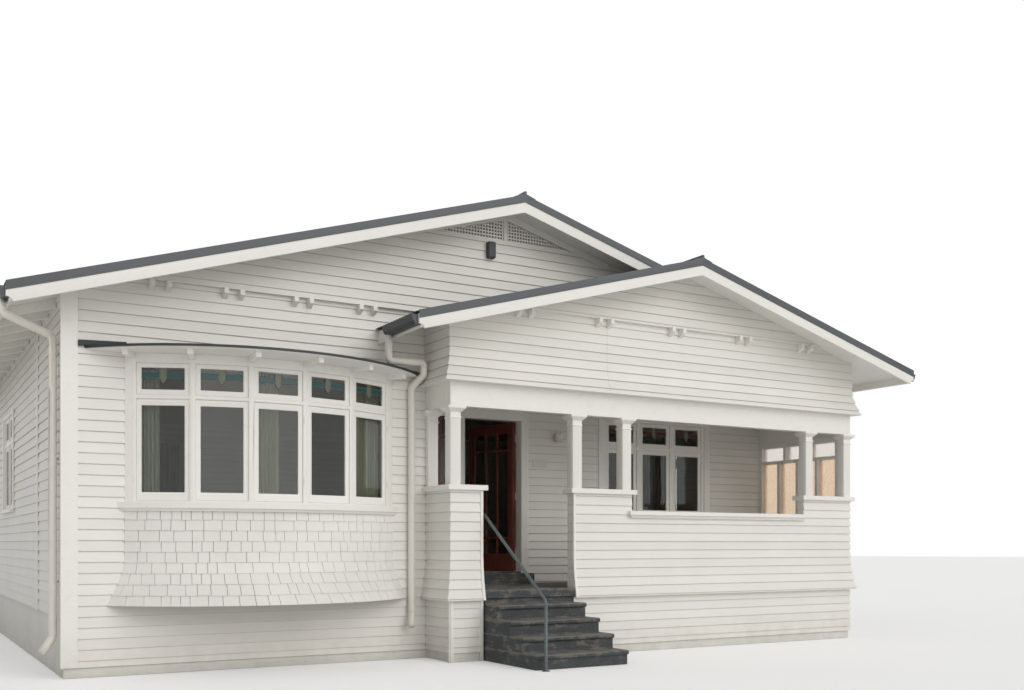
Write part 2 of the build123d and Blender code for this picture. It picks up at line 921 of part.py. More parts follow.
tail_limit = moon_plate(
    hood_half_chord - hood_tail_setback, hood_depth - hood_tail_setback, tail_z
)
for angle in bow_corners:
    tail_x = (-hood_tail_width / 2, hood_tail_width / 2)
    bar = block(tail_x, (-2 * bow_radius, bow_frame_thickness - bow_radius), tail_z)
    bar = Pos(bow_x, bow_centre_y, 0) * Rot(0, 0, angle) * bar
    hood_soffit += (bar & tail_limit) - bow_body
pieces["bow_hood_soffit"] = hood_soffit - beyond_hood

# Front wall: full height beside the porch, and only the gable above it
front_outline = [
    (0, plinth_height),
    (room_right, plinth_height),
    (room_right, porch_ceiling_level + porch_ceiling_thickness),
    (house_width - porch_screen, porch_ceiling_level + porch_ceiling_thickness),
    (house_width - porch_screen, 2 * ridge_height),
    (0, 2 * ridge_height),
]
front_wall = prism_y(front_outline, (0, wall)) & main_space
bow_clear = bow_half_chord - bow_wall_lap
front_wall -= block(
    (bow_x - bow_clear, bow_x + bow_clear), (-far, far), (bow_sill_top, bow_sash_top)
)
front_wall -= prism_y(vent_outline(0), (-far, far))
pieces["front_wall"] = front_wall

# Wall of the front room beside the porch
pieces["room_return_wall"] = block(
    (room_inner, room_right), (wall, return_back), (plinth_height, ceiling_level)
)

# Boarded gable faces that stand proud over the walls
gable_face = block((0, house_width), (-gable_panel_proud, 0), (gable_panel_base, 2 * ridge_height))
gable_face = (gable_face & main_space) - prism_y(vent_outline(0), (-far, far))
pieces["front_gable_panel"] = gable_face - porch_left_cover - block(
    (porch_ridge_x, house_width + far), (-far, far), (0, 2 * ridge_height)
)
back_face_y = house_depth + gable_panel_proud
pieces["back_wall"] += Pos(0, back_face_y, 0) * gable_face


# Lattice vents near the peak of each gable
def vent(y):
    rim = prism_y(vent_outline(0), y) - prism_y(vent_outline(vent_rim), y)
    bars = None
    middle = (y[0] + y[1]) / 2
    bar_y = (middle - vent_bar / 2, middle + vent_bar / 2)
    count = int((vent_right - vent_left) / vent_bar_pitch)
    for n in range(1, count):
        x = vent_left + n * (vent_right - vent_left) / count
        bar = block((x - vent_bar / 2, x + vent_bar / 2), bar_y, (vent_base, ridge_height))
        bars = bar if bars is None else bars + bar
    rows = int((ridge_height - roof_depth - vent_base) / vent_bar_pitch)
    for n in range(1, rows):
        z = vent_base + n * vent_bar_pitch
        row = block((vent_left, vent_right), bar_y, (z - vent_bar / 2, z + vent_bar / 2))
        bars += row
    return rim + (bars & prism_y(vent_outline(vent_rim / 2), bar_y))


vent_y = (-gable_panel_proud, vent_depth - gable_panel_proud)
back_vent_y = (back_face_y - vent_depth, back_face_y)
pieces["gable_vents"] = group([vent(vent_y), vent(back_vent_y)])


# Paired brackets under the gable faces
def bracket(x, face, back, top, reach):
    outline = [
        (back, top),
        (back, top - bracket_heel),
        (face - reach, top - bracket_face),
        (face - reach, top),
    ]
    return prism_x(outline, (x - bracket_width / 2, x + bracket_width / 2))


brackets = []
for place in gable_bracket_places:
    for side in (-1, 1):
        x = place + side * bracket_pair_half
        brackets.append(bracket(x, 0, 0, gable_panel_base, bracket_reach))

# Porch beam on the posts, with returns to the house
beam_z = (beam_base, beam_top)
porch_beam = block(
    (porch_left, house_width), (porch_front, porch_front + beam_thickness), beam_z
)
beam_back = porch_front + beam_thickness
porch_beam += block((porch_left, porch_left + balustrade), (beam_back, 0), beam_z)
porch_beam += block((screen_inner, house_width), (beam_back, porch_recess), beam_z)
pieces["porch_beam"] = porch_beam
pieces["porch_ceiling"] = block(
    (room_right, screen_inner),
    (beam_back, porch_recess),
    (porch_ceiling_level, porch_ceiling_level + porch_ceiling_thickness),
)

# Porch gable wall with a skirt that flares over the beam
gable_left = porch_left - porch_gable_proud
gable_right = house_width + porch_gable_proud
gable_front = porch_front - porch_gable_proud
gable_inner_front = gable_front + porch_gable_wall


def gable_plan(offset, z):
    """U-shaped plan of the gable wall, wider by an offset outside."""
    left, right = gable_left - offset, gable_right + offset
    front = gable_front - offset
    points = [
        (left, 0),
        (left, front),
        (right, front),
        (right, porch_recess),
        (gable_right - porch_gable_wall, porch_recess),
        (gable_right - porch_gable_wall, gable_inner_front),
        (gable_left + porch_gable_wall, gable_inner_front),
        (gable_left + porch_gable_wall, 0),
    ]
    return [(px, py, z) for px, py in points]


def flared(plan, base, top, reach, steps):
    """Stack of plans that swell outwards towards the base."""
    faces = []
    for n in range(steps + 1):
        share = n / steps
        offset = reach * (1 - share) ** flare_curve
        z = base + (top - base) * share
        faces.append(make_face(Polyline(*plan(offset, z), close=True)))
    return loft(faces, ruled=True)


skirt = flared(gable_plan, beam_top, skirt_top, skirt_reach, skirt_steps)
upper = make_face(Polyline(*gable_plan(0, skirt_top), close=True))
upper = extrude(upper, amount=ridge_height, dir=(0, 0, 1))
pieces["porch_gable_wall"] = (skirt + upper) & porch_space

# Proud boarded face at the top of the porch gable
porch_panel = block(
    (gable_left, gable_right),
    (gable_front - porch_panel_proud, gable_front),
    (porch_panel_base, 2 * ridge_height),
)
pieces["porch_gable_wall"] += porch_panel & porch_space
middle_pair = (porch_bracket_pairs - 1) / 2
for n in range(porch_bracket_pairs):
    place = porch_middle + (n - middle_pair) * porch_bracket_pitch
    for side in (-1, 1):
        x = place + side * bracket_pair_half
        brackets.append(bracket(x, gable_front, gable_front, porch_panel_base, bracket_reach))
pieces["gable_brackets"] = group(brackets)

# Porch floor with a tongue over the steps and the doorstep on it
floor_z = (porch_floor_level - porch_floor_thickness, porch_floor_level)
porch_inner_x = (room_right, house_width - balustrade)
porch_floor = block(porch_inner_x, (porch_inner_y, porch_recess), floor_z)
porch_floor += block((pier_left_end, pier_middle_start), (floor_nose_y, porch_inner_y), floor_z)
doorstep_z = (porch_floor_level, porch_floor_level + doorstep_height)
porch_floor += block(
    (doorstep_left, doorstep_right), (porch_recess - doorstep_depth, porch_recess), doorstep_z
)
pieces["porch_floor"] = porch_floor

# Steps with rounded-off treads that overhang the risers
step_outline = [(porch_inner_y, 0)]
first_nose = floor_nose_y - going * (step_count - 1)
step_outline.append((first_nose + nosing_reach, 0))
for n in range(step_count - 1):
    nose = first_nose + going * n
    top = riser * (n + 1)
    step_outline.append((nose + nosing_reach, top - nosing_depth))
    step_outline.append((nose, top - nosing_depth))
    step_outline.append((nose, top))
    step_outline.append((nose + going + nosing_reach, top))
step_outline.append((floor_nose_y + nosing_reach, floor_z[0]))
step_outline.append((porch_inner_y, floor_z[0]))
pieces["entry_steps"] = prism_x(step_outline, (step_left, step_right))


# Boarded balustrades with flared skirts
def skirted(plan, top):
    """Wall on a plan, flared outwards between two levels."""
    def edge(offset, z):
        return [(px, py, z) for px, py in plan(offset)]

    body = flared(edge, flare_base, flare_top, flare_reach, flare_steps)
    above = make_face(Polyline(*edge(0, flare_top), close=True))
    body += extrude(above, amount=top - flare_top, dir=(0, 0, 1))
    below = make_face(Polyline(*edge(0, plinth_height), close=True))
    body += extrude(below, amount=flare_base - plinth_height, dir=(0, 0, 1))
    return body


def left_pier_plan(offset):
    return [
        (porch_left - offset, 0),
        (porch_left - offset, porch_front - offset),
        (pier_left_end, porch_front - offset),
        (pier_left_end, porch_inner_y),
        (room_right, porch_inner_y),
        (room_right, 0),
    ]


def front_plan(x0, x1):
    def plan(offset):
        return [
            (x0, porch_front - offset),
            (x1, porch_front - offset),
            (x1, porch_inner_y),
            (x0, porch_inner_y),
        ]

    return plan


def right_pier_plan(offset):
    return [
        (pier_right_start, porch_front - offset),
        (house_width + offset, porch_front - offset),
        (house_width + offset, porch_recess),
        (house_width - balustrade, porch_recess),
        (house_width - balustrade, porch_inner_y),
        (pier_right_start, porch_inner_y),
    ]


pieces["balustrade_left"] = skirted(left_pier_plan, pier_height)
middle_pier = skirted(front_plan(pier_middle_start, pier_middle_end), pier_height)
low_wall = skirted(front_plan(pier_middle_end, pier_right_start), low_height)
pieces["balustrade_middle"] = middle_pier + low_wall
right_pier = skirted(right_pier_plan, pier_height)
side_wall_x = (house_width - balustrade, house_width)
above_low = block(side_wall_x, (porch_inner_y, porch_recess), (low_height, pier_height))
pieces["balustrade_right"] = right_pier - above_low

# Caps of the balustrades
cap_z = (pier_height, pier_height + pier_cap)
cap_y = (porch_front - pier_cap_reach, porch_inner_y + pier_cap_reach)
low_cap_z = (low_height, low_height + low_cap)
cap_left = block((porch_left - pier_cap_reach, pier_left_end + pier_cap_reach), cap_y, cap_z)
cap_left += block(
    (porch_left - pier_cap_reach, room_right + pier_cap_reach), (cap_y[0], 0), cap_z
)
cap_middle = block(
    (pier_middle_start - pier_cap_reach, pier_middle_end + pier_cap_reach), cap_y, cap_z
)
cap_low = block(
    (pier_middle_end, pier_right_start),
    (porch_front - low_cap_reach, porch_inner_y + low_cap_reach),
    low_cap_z,
)
cap_low += block(
    (pier_middle_end - low_cap_horn, pier_middle_end),
    (porch_front - low_cap_reach, porch_front),
    low_cap_z,
)
cap_low += block(
    (pier_middle_end - low_cap_horn / 2, pier_right_start),
    (porch_front - low_moulding_reach, porch_front),
    (low_height - low_moulding, low_height),
)
cap_right = block((pier_right_start - pier_cap_reach, house_width + pier_cap_reach), cap_y, cap_z)
side_cap_x = (house_width - balustrade, house_width + side_cap_reach)
cap_side = block(side_cap_x, (porch_inner_y, porch_recess), low_cap_z)
pieces["balustrade_caps"] = group(
    [cap_left, cap_middle, cap_low, cap_right, cap_side]
)

# Porch posts with plain capitals, and a half post on the house wall
post_base = cap_z[1]
capital_base = beam_base - capital_plate - capital_slope


def square(width, z):
    half = width / 2
    corners = [(-half, -half, z), (half, -half, z), (half, half, z), (-half, half, z)]
    return make_face(Polyline(*corners, close=True))


wide = post + 2 * capital_reach
post_piece = block((-post / 2, post / 2), (-post / 2, post / 2), (post_base, beam_base))
post_piece += loft([square(post, capital_base), square(wide, beam_base - capital_plate)])
post_piece += block(
    (-wide / 2, wide / 2), (-wide / 2, wide / 2), (beam_base - capital_plate, beam_base)
)
ring_half = post / 2 + neck_ring_reach
ring_z = (capital_base - neck_ring_drop, capital_base - neck_ring_drop + neck_ring)
post_piece += block((-ring_half, ring_half), (-ring_half, ring_half), ring_z)
post_y = porch_front + post / 2
post_places = [
    porch_left,
    pier_middle_start - middle_post_setbacks[0],
    pier_middle_end - middle_post_setbacks[1],
    pier_right_start + post_setback,
    house_width - post,
]
posts = [Pos(x + post / 2, post_y, 0) * post_piece for x in post_places]
half_post = Pos(porch_left + post / 2, 0, 0) * post_piece
half_post &= block((0, house_width), (-far, 0), (0, 2 * beam_base))
pieces["porch_posts"] = group(posts + [half_post])

# Glazed screen at the right side of the porch
screen_x = (screen_inner, house_width)
screen_back = porch_recess
screen_front = porch_front + post
screen_z = (low_height + low_cap, beam_base)
screen = block(screen_x, (screen_front, screen_back), screen_z)
screen_panes = []
upper_rail = screen_mid_rail + screen_rail
screen_rows = [
    (screen_lower_lights, (screen_z[0] + screen_rail, screen_mid_rail)),
    (screen_upper_lights, (upper_rail, beam_base - screen_head)),
]
pane_x = house_width - porch_screen / 2
for lights, light_z in screen_rows:
    span = screen_back - screen_front - screen_bar
    for n in range(lights):
        low = screen_front + screen_bar + span * n / lights
        high = screen_front + span * (n + 1) / lights
        screen -= block((0, 2 * house_width), (low, high), light_z)
        pane = (pane_x - glass_thickness / 2, pane_x + glass_thickness / 2)
        screen_panes.append(block(pane, (low, high), light_z))
pieces["side_screen_frame"] = screen - cap_right - posts[-1]
pieces["side_screen_glass"] = group(screen_panes)

# Back wall of the porch, split beside and over the doorway
hole_left = door_left - jamb
hole_right = door_right + jamb
hole_top = door_head + jamb
recess_y = (porch_recess, return_back)
porch_wall_z = (plinth_height, ceiling_level)
side_hole_left = sidelight_left - jamb
side_hole_right = sidelight_right + jamb
left_part = block((room_right, hole_left), recess_y, porch_wall_z)
left_part -= block(
    (side_hole_left, side_hole_right), (0, far), (sidelight_sill - jamb, hole_top)
)
left_part += block((hole_left, hole_right), recess_y, (plinth_height, floor_level - jamb))
pieces["porch_wall_left"] = left_part
right_part = block((hole_right, right_inner), recess_y, porch_wall_z)
right_part -= porch_place * window_hole(*porch_sizes[:3])
pieces["porch_wall_right"] = right_part
pieces["porch_wall_over_door"] = block((hole_left, hole_right), recess_y, (hole_top, ceiling_level))

# Door frame with a sill, and the architrave round door and sidelight
frame = block((hole_left, hole_right), recess_y, (floor_level - jamb, hole_top))
frame -= block((door_left, door_right), (0, far), (floor_level, door_head))
trim_y = (porch_recess - architrave_thickness, porch_recess)
architrave = block(
    (side_hole_left - architrave_width / 2, hole_right + architrave_width - jamb),
    trim_y,
    (sidelight_sill - jamb, architrave_top),
)
architrave += block(
    (hole_right - jamb, hole_right + architrave_width - jamb),
    trim_y,
    (doorstep_z[1], architrave_top),
)
architrave += block((side_hole_right, door_left), trim_y, (doorstep_z[1], architrave_top))
architrave -= block((door_left, door_right), (0, far), (0, door_head))
architrave -= block((sidelight_left, sidelight_right), (0, far), (sidelight_sill, door_head))
pieces["door_frame"] = frame + architrave

# Red sidelight: a sash with a transom and two bars, and its panes
light_back = porch_recess + sidelight_setback + sidelight_thickness
light_y = (porch_recess + sidelight_setback, light_back)
sidelight = block(
    (side_hole_left, side_hole_right), light_y, (sidelight_sill - jamb, hole_top)
)
side_middle = (sidelight_left + sidelight_right) / 2
pane_face = light_y[0] + sidelight_pane_setback
pane_depth = (pane_face, pane_face + door_glass_thickness)
side_panes = []
for across in (
    (sidelight_left, side_middle - sidelight_bar / 2),
    (side_middle + sidelight_bar / 2, sidelight_right),
):
    for tall in (
        (sidelight_sill, sidelight_transom),
        (sidelight_transom + sidelight_bar, door_head),
    ):
        sidelight -= block(across, (0, far), tall)
        side_panes.append(block(across, pane_depth, tall))
pieces["sidelight_sash"] = sidelight
pieces["sidelight_glass"] = group(side_panes)

# Door leaf drawn shut, then turned open on its hinge pins
pin_x = door_right - door_gap / 2
pin_y = return_back + hinge_pin_offset
leaf_x = (door_left + door_gap, door_right - door_gap)
leaf_y = (return_back - door_leaf_thickness, return_back)
leaf_base = floor_level + door_threshold_gap
leaf_z = (leaf_base, leaf_base + door_leaf_height)
leaf = block(leaf_x, leaf_y, leaf_z)
light_width = (door_leaf_width - 2 * door_stile - 2 * door_bar) / 3
leaf_panes = []
pane_leaf_y = (
    return_back - door_leaf_thickness / 2 - door_glass_thickness / 2,
    return_back - door_leaf_thickness / 2 + door_glass_thickness / 2,
)
light_base = leaf_base + door_bottom_rail
for row, light_height in enumerate(reversed(door_light_rows)):
    for column in range(3):
        left = leaf_x[0] + door_stile + column * (light_width + door_bar)
        across = (left, left + light_width)
        tall = (light_base, light_base + light_height)
        leaf -= block(across, (0, far), tall)
        leaf_panes.append(block(across, pane_leaf_y, tall))
    light_base += light_height + door_bar
for height in hinge_places:
    barrel = Pos(pin_x, pin_y, leaf_base + height) * Cylinder(hinge_barrel / 2, hinge_height)
    flap = block(
        (pin_x - hinge_flap, pin_x),
        (return_back, pin_y),
        (leaf_base + height - hinge_height / 2, leaf_base + height + hinge_height / 2),
    )
    leaf += barrel + flap
handle_x = leaf_x[0] + handle_setback
handle_z = leaf_base + handle_height
handles = []
for side, face in ((-1, leaf_y[0]), (1, leaf_y[1])):
    at_rose = Pos(handle_x, face + side * rose_thickness / 2, handle_z)
    rose = at_rose * Rot(90, 0, 0) * Cylinder(rose_radius, rose_thickness)
    at_neck = Pos(handle_x, face + side * neck_length / 2, handle_z)
    neck = at_neck * Rot(90, 0, 0) * Cylinder(neck_radius, neck_length)
    knob_y = face + side * (neck_length + knob_radius / 3)
    knob = Pos(handle_x, knob_y, handle_z) * Sphere(knob_radius)
    handles.append(rose + neck + knob)
open_door = Pos(pin_x, pin_y, 0) * Rot(0, 0, -door_open_angle) * Pos(-pin_x, -pin_y, 0)
pieces["front_door"] = open_door * leaf
pieces["front_door_glass"] = group([open_door * pane for pane in leaf_panes])
pieces["front_door_knobs"] = group([open_door * knob for knob in handles])

# Handrail: one pipe from a foot plate to the end of the left pier
foot = (rail_foot[0], rail_foot[1], 0)
knee = (rail_foot[0], rail_foot[1], rail_knee_height)
rail_end = (pier_left_end, rail_top[1], rail_top[2])
rail_radii = [rail_knee_radius, rail_end_radius]
rail_line = FilletPolyline(foot, knee, rail_top, rail_end, radius=rail_radii)
rail_profile = Plane(origin=foot, z_dir=(0, 0, 1)) * Circle(rail_diameter / 2)
rail = sweep(rail_profile, path=rail_line)
rail += Pos(foot[0], foot[1], rail_flange_thickness / 2) * Cylinder(
    rail_flange / 2, rail_flange_thickness
)
rail += Pos(
    pier_left_end + rail_flange_thickness / 2, rail_top[1], rail_top[2]
) * Rot(0, 90, 0) * Cylinder(rail_flange / 2, rail_flange_thickness)
pieces["handrail"] = rail


# Downpipes as straight runs joined by bends
def downpipe(points, radius):
    start, second = Vector(*points[0]), Vector(*points[1])
    line = FilletPolyline(*points, radius=radius)
    profile = Plane(origin=start, z_dir=(second - start)) * Circle(pipe_diameter / 2)
    return sweep(profile, path=line)


pipe_off = pipe_diameter / 2 + pipe_wall_gap
left_outlet_x = left_fascia_face - pipe_diameter / 2 - pipe_outlet_gap
left_outlet_z = left_gutter_level - gutter_depth
left_pipe = downpipe(
    [
        (left_outlet_x, left_pipe_y, left_outlet_z),
        (left_outlet_x, left_pipe_y, left_outlet_z - pipe_swan_neck),
        (-pipe_off, left_pipe_y, left_outlet_z - pipe_swan_neck - pipe_swan_fall),
        (-pipe_off, left_pipe_y, pipe_foot),
        (-pipe_off - left_shoe[0], left_pipe_y - left_shoe[1], pipe_foot - left_shoe[2]),
    ],
    left_bend,
)
porch_outlet_x = porch_fascia_face - pipe_diameter / 2 - pipe_outlet_gap
bypass_top = bow_head + pipe_bypass_rise
shoe_z = pipe_foot + front_shoe[2]
front_pipe = downpipe(
    [
        (porch_outlet_x, pipe_outlet_y, porch_gutter_level - gutter_depth),
        (porch_outlet_x, pipe_outlet_y, bypass_top + pipe_fall),
        (pipe_bypass_x, pipe_bypass_y, bypass_top),
        (pipe_bypass_x, pipe_bypass_y, bow_head + pipe_bypass_foot),
        (front_pipe_x, -pipe_off, bow_head - pipe_bypass_return),
        (front_pipe_x, -pipe_off, shoe_z),
        (front_pipe_x - front_shoe[0], -pipe_off - front_shoe[1], pipe_foot),
    ],
    front_bend,
)
half_clip = clip_width / 2
for z in left_clip_levels:
    clip_y = (left_pipe_y - half_clip, left_pipe_y + half_clip)
    left_pipe += block((-pipe_off, 0), clip_y, (z, z + clip_height))
for z in front_clip_levels:
    clip_x = (front_pipe_x - half_clip, front_pipe_x + half_clip)
    front_pipe += block(clip_x, (-pipe_off, 0), (z, z + clip_height))
pieces["downpipes"] = group([left_pipe, front_pipe])

# Corner boards and the cover strip on the left side
corner_z = (plinth_height, 2 * ridge_height)
front_left = block((-trim, corner_board), (-trim, 0), corner_z)
front_left += block((-trim, 0), (0, wall), corner_z)
front_left = front_left & main_space & block((-far, far), (-far, far), (0, gable_panel_base))
strip = block(
    (-trim, 0),
    (cover_strip_y - cover_strip_width / 2, cover_strip_y + cover_strip_width / 2),
    (foundation_height, 2 * ridge_height),
)
back_left = block((-trim, 0), (house_depth - corner_board, house_depth + trim), wall_z)
back_left += block((0, corner_board), (house_depth, house_depth + trim), wall_z)
back_right = block(
    (house_width, house_width + trim), (house_depth - corner_board, house_depth + trim), wall_z
)
right_board = (house_width - corner_board, house_width)
back_right += block(right_board, (house_depth, house_depth + trim), wall_z)
pieces["corner_boards"] = group(
    [front_left, strip & main_space, back_left & main_space, back_right & main_space]
)

# Lamp and bare plate on the porch wall, and the box on the gable
lamp_z = porch_ceiling_level - lamp_drop
lamp_y = porch_recess - lamp_gap - lamp_diameter / 2
lamp = Pos(lamp_x, lamp_y, lamp_z) * Cylinder(lamp_diameter / 2, lamp_drum)
plate = Rot(90, 0, 0) * Cylinder(lamp_plate, lamp_arm)
lamp += Pos(lamp_x, porch_recess - lamp_arm / 2, lamp_z) * plate
arm = Rot(90, 0, 0) * Cylinder(lamp_arm, lamp_gap + lamp_arm)
lamp += Pos(lamp_x, porch_recess - (lamp_gap + lamp_arm) / 2, lamp_z) * arm
pieces["wall_lamp"] = lamp
pieces["door_plate"] = block(
    (plate_left, plate_left + plate_width),
    (porch_recess - plate_thickness, porch_recess),
    (plate_base, plate_base + plate_height),
)
pieces["service_box"] = block(
    (service_box_x - service_box_width / 2, service_box_x + service_box_width / 2),
    (-gable_panel_proud - service_box_depth, -gable_panel_proud),
    (service_box_base, service_box_base + service_box_height),
)

# Centre the whole building on its footprint and write each piece
boxes = [piece.bounding_box() for piece in pieces.values()]
centre_x = (min(b.min.X for b in boxes) + max(b.max.X for b in boxes)) / 2
centre_y = (min(b.min.Y for b in boxes) + max(b.max.Y for b in boxes)) / 2
base_z = min(b.min.Z for b in boxes)
to_origin = Pos(-centre_x, -centre_y, -base_z)
os.makedirs("parts", exist_ok=True)
for name, piece in pieces.items():
    export_step(to_origin * piece, os.path.join("parts", name + ".step"))
print("centre", centre_x, centre_y, base_z)
print("pin", pin_x - centre_x, pin_y - centre_y)
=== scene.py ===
import bpy
import bmesh
import random
from math import asin, cos, floor, pi, radians, sin
from mathutils import Matrix, Vector


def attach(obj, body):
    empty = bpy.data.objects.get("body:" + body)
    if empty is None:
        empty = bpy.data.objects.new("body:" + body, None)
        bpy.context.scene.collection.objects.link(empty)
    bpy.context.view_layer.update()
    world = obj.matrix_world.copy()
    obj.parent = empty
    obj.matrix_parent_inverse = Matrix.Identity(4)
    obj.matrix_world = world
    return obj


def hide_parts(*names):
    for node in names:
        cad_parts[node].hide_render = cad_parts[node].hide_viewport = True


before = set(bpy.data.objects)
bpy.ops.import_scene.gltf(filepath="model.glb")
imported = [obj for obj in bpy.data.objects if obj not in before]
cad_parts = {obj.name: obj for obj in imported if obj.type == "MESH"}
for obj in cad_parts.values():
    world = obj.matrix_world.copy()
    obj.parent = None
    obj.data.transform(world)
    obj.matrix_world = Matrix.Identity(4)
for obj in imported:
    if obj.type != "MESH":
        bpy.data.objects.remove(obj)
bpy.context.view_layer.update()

# Metres. X and Y are counted from the front left corner of the main house,
# as on the drawings, and each finished mesh is moved so that the middle of
# the footprint is at the origin.
house_corner = Vector((5.5695, 3.9805, 0))

# Main house
house_width = 10.97
house_depth = 9.4
ridge_x = 5.312
ridge_height = 5.772
left_eave = -0.577
left_eave_height = 3.97
left_pitch = (ridge_height - left_eave_height) / (ridge_x - left_eave)
right_eave = 11.716
right_eave_height = 4.013
right_pitch = (ridge_height - right_eave_height) / (right_eave - ridge_x)
roof_depth = 0.1
gable_overhang = 0.55
gable_panel_base = 4.27
gable_panel_proud = 0.06
gable_top = ridge_height - roof_depth
wall_top = gable_panel_base + 0.01
plinth = 0.11
foundation = 0.62
corner_board = 0.15
corner_cover = 0.012
pipe_off = 0.0625
porch_pipe_x = 3.98

# Windows at the sides and back, by their middles along the walls
left_windows = (5.3, 7.9)
right_windows = (3.9, 7.1)
back_windows = (2.7, 8.0)
window_half = 0.69
window_low = 1.88
window_high = 3.302

# Vents
vent_base = 5.315
vent_left = 4.35
vent_right = 6.31
vent_peak = gable_top - 0.09
vent_fall_left = (vent_peak - vent_base) / (ridge_x - vent_left)
vent_fall_right = (vent_peak - vent_base) / (vent_right - ridge_x)

# Porch
porch_left = 4.2
porch_front = -0.671
porch_recess = 1.138
porch_inner = 4.33
porch_floor = 0.855
porch_ceiling = 3.3
porch_ridge_x = 7.617
porch_eave = 3.53
porch_barge = -1.221
gable_face = -0.691
gable_left = 4.18
gable_right = 10.99
gable_butt = 6.462
butt_gap = 0.003
skirt_base = 3.35
skirt_top = 3.72
skirt_reach = 0.1
porch_panel_base = 4.305
porch_panel_proud = 0.06
pier_top = 2.057
low_top = 1.79
entry = (4.64, 5.95)
low_wall = (6.88, 10.0)
board_stop = 0.002
screen_transom = 2.73
flare_top = 1.29
flare_base = 0.735
flare_reach = 0.07
flare_curve = 1.8
riser = 0.171

# Walls inside the porch
sidelight_left = 4.70
sidelight_base = 1.81
door_case = (5.25, 6.34)
door_opening = (5.3495, 6.2605)
door_pin = (6.2595, 1.284)
porch_window = (7.65, 9.72)
porch_window_base = 1.83
porch_wall_end = 10.85

# Bow window
bow_x = 2.19
bow_half = 1.563
bow_depth = 0.441
bow_radius = (bow_half**2 + bow_depth**2) / (2 * bow_depth)
bow_centre = bow_radius - bow_depth
bow_bay = 0.2082
bow_gap = (0.63, 3.75)
under_bow = 0.8
over_bow = 3.44
apron_top = 1.766
apron_base = 0.757
apron_straight = 1.165
apron_flare = 0.359
apron_side_flare = 0.172
apron_curve = 1.15

# Weatherboards, shingles and roofing
board_pitch = 0.1155
board_line = 3.299
board_butt = 0.008
board_tuck = 0.007
board_back = 0.014
wall_setback = 0.011
shingle_pitch = 0.1158
first_course = 1.673
shingle_widths = (0.10, 0.12, 0.14, 0.15, 0.17, 0.19, 0.22)
narrowest_shingle = 0.07
shingle_joint = 0.005
wave_pitch = 0.0762
wave_depth = 0.017
wave_parts = 8

# Points nearer to a face than this are taken to lie on it
close = 0.001
# A flare is measured this far inside the end of a board
inside = 0.0001


def left_slope(x):
    return ridge_height - (ridge_x - x) * left_pitch


def right_slope(x):
    return ridge_height - (x - ridge_x) * right_pitch


porch_ridge_height = right_slope(porch_ridge_x)


def porch_slope(x):
    return porch_ridge_height - (porch_ridge_x - x) * right_pitch


# ---------------------------------------------------------------- finishes
class Finish:
    """A material with the few node chains that the finishes share."""

    def __init__(self, name, roughness=0.5, metallic=0.0, **sockets):
        self.material = bpy.data.materials.new(name)
        self.material.use_nodes = True
        self.tree = self.material.node_tree
        self.shader = self.tree.nodes["Principled BSDF"]
        self.shader.inputs["Roughness"].default_value = roughness
        self.shader.inputs["Metallic"].default_value = metallic
        for socket, value in sockets.items():
            self.shader.inputs[socket.replace("_", " ")].default_value = value
        self.where = self.node("ShaderNodeTexCoord").outputs["Object"]

    def node(self, kind, **settings):
        made = self.tree.nodes.new(kind)
        for key, value in settings.items():
            setattr(made, key, value)
        return made

    def link(self, source, target):
        self.tree.links.new(source, target)

    def noise(self, scale, detail=3.0, stretch=(1, 1, 1), roughness=0.5):
        """Smooth noise over the piece, stretched along its grain."""
        mapping = self.node("ShaderNodeMapping")
        mapping.inputs["Scale"].default_value = stretch
        self.link(self.where, mapping.inputs["Vector"])
        noise = self.node("ShaderNodeTexNoise")
        noise.inputs["Scale"].default_value = scale
        noise.inputs["Detail"].default_value = detail
        noise.inputs["Roughness"].default_value = roughness
        self.link(mapping.outputs["Vector"], noise.inputs["Vector"])
        return noise.outputs["Fac"]

    def ramp(self, factor, stops):
        """Colours set along a factor."""
        ramp = self.node("ShaderNodeValToRGB")
        ends = ramp.color_ramp.elements
        while len(ends) < len(stops):
            ends.new(0.5)
        for end, (place, colour) in zip(ends, stops):
            end.position = place
            end.color = (*colour, 1.0)
        self.link(factor, ramp.inputs["Fac"])
        return ramp.outputs["Color"]

    def math(self, operation, a, b=0.0, clamp=False):
        made = self.node("ShaderNodeMath", operation=operation, use_clamp=clamp)
        for socket, value in zip(made.inputs, (a, b)):
            if isinstance(value, (int, float)):
                socket.default_value = value
            else:
                self.link(value, socket)
        return made.outputs["Value"]

    def mix(self, factor, a, b, blend="MIX"):
        """Two colours mixed by a factor; 6 and 7 are the node's colour sockets."""
        made = self.node("ShaderNodeMix", data_type="RGBA", blend_type=blend)
        places = (made.inputs[0], made.inputs[6], made.inputs[7])
        for socket, value in zip(places, (factor, a, b)):
            if isinstance(value, (int, float)):
                socket.default_value = value
            elif isinstance(value, tuple):
                socket.default_value = (*value, 1.0)
            else:
                self.link(value, socket)
        return made.outputs[2]

    def axis(self, name):
        split = self.node("ShaderNodeSeparateXYZ")
        self.link(self.where, split.inputs["Vector"])
        return split.outputs[name]

    def colour(self, source):
        self.link(source, self.shader.inputs["Base Color"])

    def relief(self, height, distance):
        """Raised detail, as deep as the distance in metres."""
        bump = self.node("ShaderNodeBump")
        bump.inputs["Strength"].default_value = 1.0
        bump.inputs["Distance"].default_value = distance
        self.link(height, bump.inputs["Height"])
        self.link(bump.outputs["Normal"], self.shader.inputs["Normal"])

    def rough(self, factor, low, high):
        span = self.node("ShaderNodeMapRange")
        span.inputs["To Min"].default_value = low
        span.inputs["To Max"].default_value = high
        self.link(factor, span.inputs["Value"])
        self.link(span.outputs["Result"], self.shader.inputs["Roughness"])


def shade(colour, share):
    return tuple(min(1.0, c * share) for c in colour)


